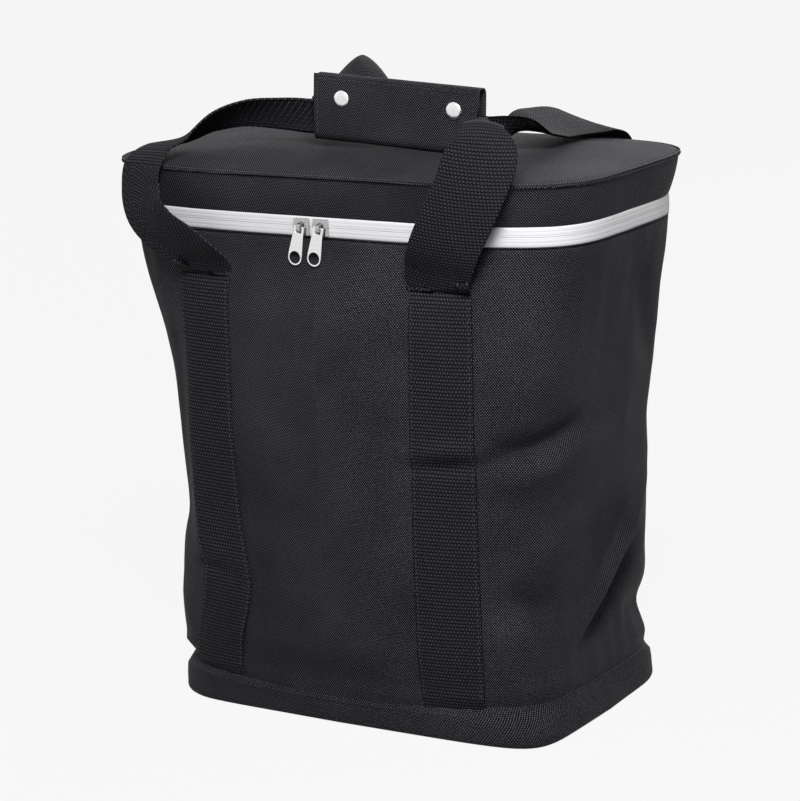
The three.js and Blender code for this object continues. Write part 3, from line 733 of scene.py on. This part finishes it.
def make_body_cloth():
    count, rows = sizes().around, 96
    angles, length = even_angles(*WALL_PLAN, *ROUND, count)
    low = BAND_TOP - 12
    def place(u, v):
        z = low + (ZIP_LOW - low) * v / rows
        hem = -1.2 * max(0, (z - 356.5) / 3.5) ** 2
        return wall_point(angles[u], z, hem), (length * u / count, z)
    piece = formed_sheet("body_cloth", count, rows, place, sizes().cloth, close=True)
    face_outwards(piece, from_the_middle)
    walls = ("front_side_panel", "back_panel", "foam_front", "foam_back", "foam_left", "foam_right")
    dress_cloth(piece, "bag", *walls)


def base_outline(angle, z):
    """The base band's outline, which grows squarer towards the ground."""
    a, b = band_size(z)
    turn = math.sin(2 * angle)
    square = max(0, turn) * smooth_step((26 - z) / 20)
    front = max(0, -turn) * smooth_step((26 - z) / 24) if math.sin(angle) < 0 else 0
    power = CORNER_POWER + 1.8 * square ** 0.25 + 3.6 * front ** 0.5
    x, y = outline(a * (1 - 0.02 * square), b * (1 - 0.02 * square), angle, power)
    return x + drawn_in(x, z), y


def base_point(angle, height):
    """A point of the base band, lifted or lowered as the band is there."""
    z = height * base_rise(*base_outline(angle, height))
    return *base_outline(angle, z), z


def make_base():
    count = sizes().around
    angles, length = even_angles(*BASE_PLAN, *ROUND, count)
    def place(u, v):
        height, out = BASE_PROFILE[v]
        x, y, z = base_point(angles[u], height)
        wave = noise.noise(Vector((x, y, z)) * 0.02) * 0.8 * min(1, z / 10)
        strap = 1.2 * bump_at(abs(x), STRAP_X, 27) ** 0.5 * smooth_step((z - 12) / 10)
        n = outward(*band_size(z), angles[u])
        return Vector((x, y, z)) + n * (out + wave + strap), (length * u / count, z)
    piece = formed_sheet("base_band_cloth", count, len(BASE_PROFILE) - 1, place, sizes().cloth, close=True)
    face_outwards(piece, from_the_middle)
    dress_cloth(piece, "bag", "base_band")
    def under_height(x, y, edge):
        return 0.9 if edge == 1 else 0.1
    under = level_sheet("base_under_cloth", 24, UNDER_PLAN, under_height, sizes().cloth, -1)
    dress_cloth(under, "bag", "base_panel")
    points = []
    for angle in angles:
        x, y, z = base_point(angle, BASE_STITCH_HEIGHT)
        points.append((Vector((x, y, z)) + outward(*band_size(z), angle) * BASE_STITCH_OUT) * MM)
    def facing(p):
        return Vector((p.x / 0.165 ** 2, p.y / 0.111 ** 2, 0)).normalized()
    stitched("base_band_stitches", [(points, facing)], "bag")


def square_to_outline(u, v, a, b):
    """Carries a point of a square from -1 to 1 into the outline."""
    reach = max(abs(u), abs(v))
    if reach < 1e-9:
        return 0.0, 0.0
    n = CORNER_POWER
    k = reach / (abs(u) ** n + abs(v) ** n) ** (1 / n)
    return a * u * k, b * v * k


def level_sheet(name, half, plan, height, thickness, up):
    """A lying sheet that fills a plan, with 2 x half columns and rows, and looks up (1) or down (-1)."""
    def place(u, v):
        x, y = square_to_outline(u / half - 1, v / half - 1, *plan)
        edge = max(abs(u - half), abs(v - half)) / half
        return (x, y, height(x, y, edge)), (x, y)
    piece = formed_sheet(name, 2 * half, 2 * half, place, thickness)
    face_outwards(piece, lambda c, n: up * n.z)
    return piece


def lid_rise(x, y):
    """How high the lid's top stands above its seam."""
    n = CORNER_POWER
    s = min(1, ((abs(x) / LID_PLAN[0]) ** n + (abs(y) / LID_PLAN[1]) ** n) ** (1 / n))
    sag = 1.2 * noise.noise(Vector((x, y, 0)) * 0.014 + Vector((5, 2, 9)))
    dent = 3.5 * bump_at(math.hypot(x - 128, y + 96), 0, 20) + 2.0 * bump_at(math.hypot(x - 60, y + 104), 0, 16)
    return LID_CROWN * (1 - s ** 2.2) + sag * (1 - s ** 4) - dent * (1 - s ** 8)


def make_lid_cloth():
    count, rows = sizes().around, 20
    angles, length = even_angles(*LID_BAND_PLAN, *ROUND, count)
    low, high = ZIP_HIGH - 0.5, LID_SEAM + 1.2
    def place(u, v):
        t = v / rows
        z = low + (high - low) * t
        plan, belly = lid_size(z), math.sin(math.pi * t)
        x, y = outline(*plan, angles[u])
        out = 0.9 * belly + 0.7 * max(0, (t - 0.9) / 0.1) - 1.0 * max(0, (0.08 - t) / 0.08)
        out += 0.7 * noise.noise(Vector((x, y, z * 1.5)) * 0.022) * belly
        if y < 0:
            out -= (1.6 * bump_at(x + 10 * t, 126, 7) + 1.2 * bump_at(x, 160, 9)) * belly
        return off_outline(plan, angles[u], z, out), (length * u / count, z)
    band = formed_sheet("lid_band_cloth", count, rows, place, sizes().cloth, close=True)
    face_outwards(band, from_the_middle)
    dress_cloth(band, "lid", "lid_band")
    def crown(x, y, edge):
        return LID_SEAM + 1.5 + lid_rise(x, y) - 2.2 * max(0, (edge - 0.97) / 0.03) ** 2
    cover = level_sheet("lid_top_cloth", 56, COVER_PLAN, crown, sizes().cloth, 1)
    dress_cloth(cover, "lid", "lid_top_panel", "lid_foam")


def make_linings():
    count, rows = 128, 60
    film = finish("silver_film", silver_film)
    angles, length = even_angles(*LINER_PLAN, *ROUND, count)
    def place(u, v):
        z = LINER_LOW + (LINER_HIGH - LINER_LOW) * v / rows
        plan = [half - LINER_INSET for half in body_size(z)]
        x, y = outline(*plan, angles[u])
        crease = 1.1 * noise.noise(Vector((x, y, z)) * 0.03) - 0.6 - drawn_in(x * 1.05, z)
        crease *= min(1, (LINER_HIGH - z) / 15)
        return off_outline(plan, angles[u], z, crease), (length * u / count, z)
    wall = formed_sheet("liner_film", count, rows, place, FILM_THICKNESS, close=True)
    face_outwards(wall, lambda c, n: -from_the_middle(c, n))
    dress(wall, film, "bag", ("liner",))
    def floor(x, y, edge):
        return 12.2 + 0.5 * noise.noise(Vector((x, y, 0)) * 0.03)
    bottom = level_sheet("liner_floor_film", 20, LINER_FLOOR_PLAN, floor, FILM_THICKNESS, 1)
    dress(bottom, film, "bag", ("base_foam",))
    def roof(x, y, edge):
        return 396.5 + 0.8 * lid_rise(x, y)
    inner = level_sheet("lid_film", 20, LID_FILM_PLAN, roof, FILM_THICKNESS, -1)
    dress(inner, film, "lid", ("lid_liner",))
    def rim(u, v):
        z, out = RIM_PROFILE[v]
        return off_outline(body_size(z), angles[u], z, out), (length * u / count, z - out)
    binding = formed_sheet("rim_binding_cloth", count, len(RIM_PROFILE) - 1, rim, FILM_THICKNESS, close=True)
    dress_cloth(binding, "bag", "rim_binding")


# Zip
def make_zip():
    count = 220
    angles, length = even_angles(*ZIP_PLAN, REAR_START, REAR_END + TURN, count)
    white = finish("woven_zip_tape", zip_tape)
    upper_profile = [(2 * ZIP_MIDDLE - z, out) for z, out in ZIP_PROFILE]
    for half, profile, body in (("lower", ZIP_PROFILE, "bag"), ("upper", upper_profile, "lid")):
        def place(u, v):
            z, out = profile[v]
            x, y = outline(*ZIP_PLAN, angles[u])
            wave = 0.25 * noise.noise(Vector((x, y, 0)) * 0.05)
            return off_outline(ZIP_PLAN, angles[u], z, out + wave), (length * u / count, z)
        tape = formed_sheet(f"zip_{half}", count, len(profile) - 1, place, FILM_THICKNESS)
        face_outwards(tape, from_the_middle)
        dress(tape, white, body, (f"zip_tape_{half}", f"zip_coil_{half}"))
    columns, rows = 60, 12
    back_angles, span = even_angles(*ZIP_PLAN, REAR_END, REAR_START, columns)
    low, high = ZIP_LOW - 1.5, ZIP_HIGH + 1.5
    def strip(u, v):
        z = low + (high - low) * v / rows
        out = -0.6 + 1.0 * math.sin(math.pi * v / rows)
        return off_outline(ZIP_PLAN, back_angles[u], z, out), (span * u / columns, z)
    hinge = formed_sheet("hinge_cloth", columns, rows, strip, sizes().cloth)
    face_outwards(hinge, from_the_middle)
    settle(hinge)
    dress_cloth(hinge, None, "lid_hinge_strip")
    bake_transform(hinge)


# Webbing
def rib_lift(u, columns, width):
    """Raised ribs across the webbing, in millimetres."""
    ribs = round(width / (sizes().rib / MM))
    return 0.25 * abs(math.sin(math.pi * ribs * u / columns))


def strap_centre(side, sign, z):
    """The sewn webbing's middle line, which leans and wanders a little."""
    wander = 1.6 * noise.noise(Vector((sign * 3.1, side * 5.7, z * 0.012)))
    wander *= smooth_step((z - 24) / 40)
    if side < 0 and sign < 0:
        wander += 9 * bump_at(z, 98, 34) - 8 * bump_at(z, 24, 44) - 4.5 * smooth_step((z - 100) / 220)
    return sign * STRAP_X + wander


def strap_seat(side, x, z, out):
    """A point on the front or back wall, or just off it."""
    a, b = body_size(z)
    y = side * b * (1 - min(0.999, abs(x / a)) ** CORNER_POWER) ** (1 / CORNER_POWER)
    return Vector((x, y, z)) + slope_at(x, y, a, b) * (wall_slack(x, y, z) + out)


def edge_drop(u, columns, depth):
    """How far the selvedge of webbing lies below its ribs."""
    return depth * max(0, 1 - min(u, columns - u) / columns / 0.02)


def make_sewn_straps():
    columns, rows = 76, 120
    low, high = BAND_TOP - 8, SEWN_TOP - 1
    for side_name, side in (("front", -1), ("back", 1)):
        def facing(p):
            return Vector((p.x * 4, side * 10, 0)).normalized()
        for hand, sign in (("left", -1), ("right", 1)):
            def place(u, v):
                z = low + (high - low) * v / rows
                x = strap_centre(side, sign, z) + SEWN_WIDTH * (u / columns - 0.5)
                lift = 0.5 + 1.5 * smooth_step((z - BAND_TOP) / 10) - 2.1 * smooth_step((z - SEWN_TOP + 8) / 6)
                lift += rib_lift(u, columns, SEWN_WIDTH) - edge_drop(u, columns, 0.7)
                return strap_seat(side, x, z, lift), (SEWN_WIDTH * u / columns, z)
            name = f"{side_name}_strap_{hand}"
            piece = formed_sheet(name, columns, rows, place, sizes().webbing)
            face_outwards(piece, lambda c, n: side * n.y)
            dress_webbing(piece, "bag", f"{name}_sewn")
            lines = []
            for offset in (-SEWN_STITCH_X, SEWN_STITCH_X):
                heights = range(34, int(SEWN_TOP) - 4, 4)
                points = [strap_seat(side, strap_centre(side, sign, z) + offset, z, 2.2) * MM for z in heights]
                lines.append((points, facing))
            stitched(f"{name}_stitches", lines, "bag")


def catmull(values, t):
    """A smooth line through the values, at a place counted in stations."""
    last = len(values) - 1
    k = min(int(t), last - 1)
    s = t - k
    p0, p1 = values[max(0, k - 1)], values[k]
    p2, p3 = values[k + 1], values[min(last, k + 2)]
    bend, twist = 2 * p0 - 5 * p1 + 4 * p2 - p3, 3 * p1 - p0 - 3 * p2 + p3
    return 0.5 * (2 * p1 + (p2 - p0) * s + bend * s * s + twist * s ** 3)


def strap_piece(name, route, side, start, end, rows):
    """One length of a carry loop, with its ridge and ribs standing on the side away from the bag."""
    centres = [Vector(centre) for centre, *_ in route]
    across = [Vector(w).normalized() for _, w, *_ in route]
    forms = [Vector((width, sum(ridge), 0)) for _, _, width, *ridge in route]
    last_station = len(route) - 1
    columns = 76
    frames = []
    for i in range(rows + 1):
        t = start + (end - start) * i / rows
        along = catmull(centres, min(last_station, t + 0.01)) - catmull(centres, max(0, t - 0.01))
        along.normalize()
        w = catmull(across, t)
        w = (w - along * w.dot(along)).normalized()
        frames.append((catmull(centres, t), w, along.cross(w) * side, *catmull(forms, t).xy))
    def spot(u, v):
        c, w, out, width, ridge = frames[v]
        s = u / columns - 0.5
        lift = 0.85 + rib_lift(u, columns, LOOP_WIDTH) - edge_drop(u, columns, 0.5)
        lift += ridge * (1 - abs(2 * s) ** 1.4) + 0.12 * (LOOP_WIDTH - width) * (1 - 4 * s * s)
        return c + w * width * s + out * lift
    grid = [[spot(u, v) for v in range(rows + 1)] for u in range(columns + 1)]
    runs = [running_lengths(line) for line in grid]
    def place(u, v):
        return grid[u][v], (LOOP_WIDTH * u / columns, runs[u][v])
    piece = formed_sheet(name, columns, rows, place, sizes().webbing)
    if side > 0:
        piece.data.flip_normals()
    settle(piece)
    return piece


def on_the_wall(route, side):
    """The route with its ends drawn out to the fullness of the wall that they are sewn to."""
    drawn = list(route)
    base = abs(route[0][0][1])
    for i, share in ((0, 1.0), (1, 0.8), (-2, 0.8), (-1, 1.0)):
        (x, y, z), *form = route[i]
        sign = 1 if x > 0 else -1
        middle = strap_centre(side, sign, SEWN_TOP)
        seat = strap_seat(side, middle, min(z, SEWN_TOP), 1.1).y
        x += (middle - sign * STRAP_X) * share
        y += (seat - side * base) * share
        drawn[i] = ((x, y, z), *form)
    return drawn


def make_carry_loops():
    for name, plan, folds, side, edge in CARRY_LOOPS:
        route = on_the_wall(plan, side)
        last = len(route) - 1
        for hand, start, end, rows in (("left", 0, folds[0], 70), ("right", folds[1], last, 60)):
            leg = strap_piece(f"{name}_{hand}_leg_strap", route, side, start, end, rows)
            dress_webbing(leg, None, f"{name}_handle_{hand}_leg")
            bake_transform(leg)
        middle = strap_piece(f"{name}_bow_strap", route, side, folds[0], folds[1], 190)
        dress_webbing(middle, None, f"{name}_handle_bow")
        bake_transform(middle)


# Grip wrap
def on_wrap(x, y, z):
    """Carries a point from the wrap's own axes to its place."""
    return WRAP_CENTRE + WRAP_TURN @ Vector((x, y, z))


def arc_points(cy, cz, radius, start, end, steps):
    result = []
    for i in range(steps + 1):
        angle = math.radians(start + (end - start) * i / steps)
        result.append((cy + radius * math.cos(angle), cz + radius * math.sin(angle)))
    return result


def make_grip_wrap():
    top, bend = WRAP_HALF_HEIGHT, WRAP_BEND
    path = [(WRAP_FRONT, 6), (WRAP_FRONT, 12), (WRAP_FRONT, 16)]
    path += arc_points(WRAP_FRONT + bend, top - bend, bend, 180, 90, 8)
    path += arc_points(WRAP_BACK - bend, top - bend, bend, 90, 0, 8)
    path += [(WRAP_BACK, z) for z in (14, 7, 0, -7, -14)]
    path += arc_points(WRAP_BACK - bend, -top + bend, bend, 0, -90, 8)
    path += [(-1, -top), (-3.5, -top), (-5.6, -top)]
    run = running_lengths(path)
    columns, rows = 90, 40
    def sleeve(u, v):
        x = WRAP_LENGTH * (u / columns - 0.5)
        y, z = path[v]
        soft = 0.5 * noise.noise(Vector((x, y * 3, z)) * 0.04)
        return on_wrap(x, y + soft * (1 if y > 0 else 0.2), z), (x, run[v])
    piece = formed_sheet("grip_wrap_cloth", columns, len(path) - 1, sleeve, WRAP_THICKNESS, offset=0.0)
    dress_cloth(piece, "back_bow", "handle_wrap")
    def sheet(u, v):
        x = WRAP_LENGTH * (u / columns - 0.5)
        z = FLAP_LOW + FLAP_HEIGHT * v / rows
        bulge = 1.3 * math.sin(math.pi * v / rows) * (1 - 0.3 * math.cos(TURN * u / columns))
        roll = 2.6 * max(0, 1 - v / 5) ** 2
        pinch = 0.1 * sum(bump_at(x, SNAP_MIDDLE + reach, 9) for reach in (-SNAP_REACH, SNAP_REACH))
        y = -6.9 - 0.25 * bulge + roll + pinch * bump_at(z, 7, 10)
        return on_wrap(x, y, z + 0.35 * noise.noise(Vector((x * 0.05, 3, 1)))), (x, z)
    flap = formed_sheet("wrap_flap_cloth", columns, rows, sheet, WRAP_THICKNESS, offset=0.0)
    face_outwards(flap, lambda c, n: -n.y)
    dress_cloth(flap, "flap", "wrap_flap")
    rows_of_spots = [[(x, 20.6) for x in range(-64, 65, 2)]]
    rows_of_spots += [[(x, z) for z in range(-19, 21, 2)] for x in (-64.2, 64.2)]
    lines = []
    for spots in rows_of_spots:
        points = [on_wrap(x, FLAP_STITCH_Y, z) * MM for x, z in spots]
        lines.append((points, lambda p: Vector((0, -1, 0))))
    stitched("wrap_flap_stitches", lines, "flap")


# Metal
def make_snaps():
    metal = finish("bright_nickel", nickel_plate)
    for hand, sign in (("left", -1), ("right", 1)):
        bm = bmesh.new()
        ring = [bm.verts.new((r, 0, h)) for r, h in SNAP_PROFILE]
        edges = [bm.edges.new(pair) for pair in zip(ring, ring[1:])]
        middle, axis = (0, 0, 0), (0, 0, 1)
        bmesh.ops.spin(bm, geom=ring + edges, cent=middle, axis=axis, angle=TURN, steps=40, use_merge=True)
        bmesh.ops.remove_doubles(bm, verts=bm.verts, dist=0.001)
        for vert in bm.verts:
            x, y, h = vert.co
            vert.co = on_wrap(SNAP_MIDDLE + sign * SNAP_REACH + x, SNAP_Y - h, SNAP_Z + y) * MM
        bmesh.ops.recalc_face_normals(bm, faces=bm.faces)
        cap = new_piece(f"snap_dome_{hand}", bm)
        shade_smooth(cap, 35)
        dress(cap, metal, "flap", (f"snap_cap_{hand}",))


def metal_copy(node, name, width, form, turn=None):
    """A bevelled copy of a CAD metal piece, reshaped by form and then turned."""
    bm = bmesh.new()
    bm.from_mesh(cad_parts[node].data)
    bmesh.ops.remove_doubles(bm, verts=bm.verts, dist=1e-6)
    bmesh.ops.dissolve_limit(bm, angle_limit=math.radians(4), verts=bm.verts, edges=bm.edges)
    for vert in bm.verts:
        vert.co = form(vert.co)
    if turn:
        bmesh.ops.transform(bm, matrix=turn, verts=bm.verts)
    sharp = [e for e in bm.edges if e.is_manifold and e.calc_face_angle(0) > math.radians(30)]
    bmesh.ops.bevel(
        bm, geom=sharp, offset=width, offset_type="OFFSET", segments=2, profile=0.5,
        affect="EDGES", clamp_overlap=True, material=-1,
    )
    piece = new_piece(name, bm)
    shade_smooth(piece, 30)
    return piece


def make_sliders():
    metal = finish("bright_nickel", nickel_plate)
    # The slider bodies take the same nickel darkened to 0.55 as painted shade.
    shaded_nickel = finish("grey_nickel", nickel_plate, 0.24, 0.55)
    level = ZIP_MIDDLE * MM
    for hand, slider_x in SLIDER_X:
        x = slider_x * MM
        def broad(p):
            return Vector((x + (p.x - x) * 1.5, p.y, level + (p.z - level) * 1.15))
        slider = metal_copy(f"zip_slider_{hand}", f"slider_body_{hand}", 0.00025, broad)
        dress(slider, shaded_nickel, f"slider_{hand}", (f"zip_slider_{hand}",))
        pivot = Vector((x, PULL_PIVOT_Y * MM, level))
        lean = Matrix.Translation(pivot) @ Matrix.Rotation(math.radians(12), 4, "Y") @ Matrix.Translation(-pivot)
        def shouldered(p):
            wider = 1 + 0.3 * smooth_step((p.z - PULL_SHOULDER * MM) / 0.005)
            return Vector((x + (p.x - x) * wider, p.y, p.z))
        tab = metal_copy(f"zip_pull_{hand}", f"pull_tab_{hand}", 0.0003, shouldered, lean)
        dress(tab, metal, f"pull_{hand}", (f"zip_pull_{hand}",))


def make_frame_finishes():
    metal = finish("bright_nickel", nickel_plate)
    foam = finish("foam_sheet", foam_finish, (0.7, 0.71, 0.72))
    board = finish("stiff_board", foam_finish, (0.05, 0.05, 0.05))
    for name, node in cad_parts.items():
        if not node.hide_render:
            material = metal if name.startswith("snap") else board if name == "base_board" else foam
            dress(node, material)


# Stage
def make_camera(scene):
    camera = bpy.data.cameras.new("camera")
    camera.sensor_width = SENSOR
    camera.lens = SENSOR * FOCAL_PIXELS / PICTURE_PIXELS
    camera.clip_end = 100
    eye = bpy.data.objects.new("camera", camera)
    scene.collection.objects.link(eye)
    azimuth, elevation, roll = (math.radians(angle) for angle in CAMERA_ANGLES)
    turn = Matrix.Rotation(azimuth, 4, "Z") @ Matrix.Rotation(math.pi / 2 - elevation, 4, "X")
    turn = turn @ Matrix.Rotation(roll, 4, "Z")
    eye.matrix_world = Matrix.Translation(CAMERA_TARGET) @ turn @ Matrix.Translation((0, 0, CAMERA_DISTANCE))
    scene.camera = eye


def plain_and_seen(tree, output, plain, seen, share):
    """Joins two shaders: the second is what the camera and mirrors see, and the first lights the bag."""
    tree.nodes.clear()
    out = tree.nodes.new(output)
    path = tree.nodes.new("ShaderNodeLightPath")
    rays = add_math(tree, "MAXIMUM", path.outputs["Is Camera Ray"], path.outputs["Is Glossy Ray"])
    rays = add_math(tree, "MAXIMUM", rays, path.outputs["Is Transmission Ray"])
    mix = tree.nodes.new("ShaderNodeMixShader")
    tree.links.new(scaled(tree, rays, share), mix.inputs[0])
    for socket, shader in ((1, plain), (2, seen)):
        tree.links.new(add_node(tree, *shader).outputs[0], mix.inputs[socket])
    tree.links.new(mix.outputs[0], out.inputs["Surface"])


def make_stage():
    scene = bpy.context.scene
    scene.view_settings.view_transform = "Standard"
    make_camera(scene)

    bm = bmesh.new()
    bmesh.ops.create_grid(bm, x_segments=2, y_segments=2, size=40)
    floor = new_piece("floor", bm)
    floor.location.z = -0.0002
    material = bpy.data.materials.new("floor")
    material.use_nodes = True
    white = (*colours().floor, 1)
    plain = ("ShaderNodeBsdfDiffuse", {"Color": FLOOR_SHADE})
    seen = ("ShaderNodeEmission", {"Color": white, "Strength": 1.0})
    plain_and_seen(material.node_tree, "ShaderNodeOutputMaterial", plain, seen, FLOOR_SEEN)
    floor.data.materials.append(material)

    scene.world = bpy.data.worlds.new("studio")
    scene.world.use_nodes = True
    plain = ("ShaderNodeBackground", {"Color": white, "Strength": SKY_LIGHT})
    seen = ("ShaderNodeBackground", {"Color": white, "Strength": 1.0})
    plain_and_seen(scene.world.node_tree, "ShaderNodeOutputWorld", plain, seen, 1.0)

    for name, place, size, power in LAMPS:
        lamp = bpy.data.lights.new(name, "AREA")
        lamp.energy = power
        lamp.size = size
        holder = bpy.data.objects.new(name, lamp)
        scene.collection.objects.link(holder)
        holder.location = place
        holder.rotation_euler = (LAMP_AIM - Vector(place)).to_track_quat("-Z", "Y").to_euler()


# Operators
class COOLER_BAG_OT_body_cloth(bpy.types.Operator):
    """Makes the cloth of the standing walls."""

    bl_idname = "cooler_bag.body_cloth"
    bl_label = "Body cloth"

    def execute(self, context):
        make_body_cloth()
        return {"FINISHED"}


class COOLER_BAG_OT_base(bpy.types.Operator):
    """Makes the base band and the cloth under it."""

    bl_idname = "cooler_bag.base"
    bl_label = "Base"

    def execute(self, context):
        make_base()
        return {"FINISHED"}


class COOLER_BAG_OT_lid_cloth(bpy.types.Operator):
    """Makes the band and crowned top of the lid."""

    bl_idname = "cooler_bag.lid_cloth"
    bl_label = "Lid cloth"

    def execute(self, context):
        make_lid_cloth()
        return {"FINISHED"}


class COOLER_BAG_OT_linings(bpy.types.Operator):
    """Makes the silver film inside and its binding."""

    bl_idname = "cooler_bag.linings"
    bl_label = "Linings"

    def execute(self, context):
        make_linings()
        return {"FINISHED"}


class COOLER_BAG_OT_zip(bpy.types.Operator):
    """Makes both halves of the zip and the cloth hinge."""

    bl_idname = "cooler_bag.zip"
    bl_label = "Zip"

    def execute(self, context):
        make_zip()
        return {"FINISHED"}


class COOLER_BAG_OT_sewn_straps(bpy.types.Operator):
    """Makes the webbing sewn to front and back."""

    bl_idname = "cooler_bag.sewn_straps"
    bl_label = "Sewn straps"

    def execute(self, context):
        make_sewn_straps()
        return {"FINISHED"}


class COOLER_BAG_OT_carry_loops(bpy.types.Operator):
    """Makes the free webbing of both carry loops."""

    bl_idname = "cooler_bag.carry_loops"
    bl_label = "Carry loops"

    def execute(self, context):
        make_carry_loops()
        return {"FINISHED"}


class COOLER_BAG_OT_grip_wrap(bpy.types.Operator):
    """Makes the grip wrap and its flap."""

    bl_idname = "cooler_bag.grip_wrap"
    bl_label = "Grip wrap"

    def execute(self, context):
        make_grip_wrap()
        return {"FINISHED"}


class COOLER_BAG_OT_snaps(bpy.types.Operator):
    """Makes the domed snap caps."""

    bl_idname = "cooler_bag.snaps"
    bl_label = "Snaps"

    def execute(self, context):
        make_snaps()
        return {"FINISHED"}


class COOLER_BAG_OT_sliders(bpy.types.Operator):
    """Makes the zip sliders and their pulls."""

    bl_idname = "cooler_bag.sliders"
    bl_label = "Sliders"

    def execute(self, context):
        make_sliders()
        return {"FINISHED"}


class COOLER_BAG_OT_frame_finishes(bpy.types.Operator):
    """Gives the remaining frame pieces their finish."""

    bl_idname = "cooler_bag.frame_finishes"
    bl_label = "Frame finishes"

    def execute(self, context):
        make_frame_finishes()
        return {"FINISHED"}


class COOLER_BAG_OT_stage(bpy.types.Operator):
    """Makes the camera, floor and lights."""

    bl_idname = "cooler_bag.stage"
    bl_label = "Stage"

    def execute(self, context):
        make_stage()
        return {"FINISHED"}


OPERATORS = [
    COOLER_BAG_OT_body_cloth,
    COOLER_BAG_OT_base,
    COOLER_BAG_OT_lid_cloth,
    COOLER_BAG_OT_linings,
    COOLER_BAG_OT_zip,
    COOLER_BAG_OT_sewn_straps,
    COOLER_BAG_OT_carry_loops,
    COOLER_BAG_OT_grip_wrap,
    COOLER_BAG_OT_snaps,
    COOLER_BAG_OT_sliders,
    COOLER_BAG_OT_frame_finishes,
    COOLER_BAG_OT_stage,
]


class COOLER_BAG_PT_pieces(bpy.types.Panel):
    """Lists the pieces of the bag."""

    bl_label = "Cooler Bag"
    bl_space_type = "VIEW_3D"
    bl_region_type = "UI"
    bl_category = "Cooler Bag"

    def draw(self, context):
        for made in OPERATORS:
            self.layout.operator(made.bl_idname)


CLASSES = [CoolerBagSizes, CoolerBagColours, *OPERATORS, COOLER_BAG_PT_pieces]


def register():
    for made in CLASSES:
        bpy.utils.register_class(made)
    bpy.types.Scene.cooler_bag_sizes = PointerProperty(type=CoolerBagSizes)
    bpy.types.Scene.cooler_bag_colours = PointerProperty(type=CoolerBagColours)


def unregister():
    del bpy.types.Scene.cooler_bag_colours
    del bpy.types.Scene.cooler_bag_sizes
    for made in reversed(CLASSES):
        bpy.utils.unregister_class(made)


def main():
    register()
    for made in OPERATORS:
        group, name = made.bl_idname.split(".")
        getattr(getattr(bpy.ops, group), name)()
    bpy.context.view_layer.update()


if __name__ == "__main__":
    main()
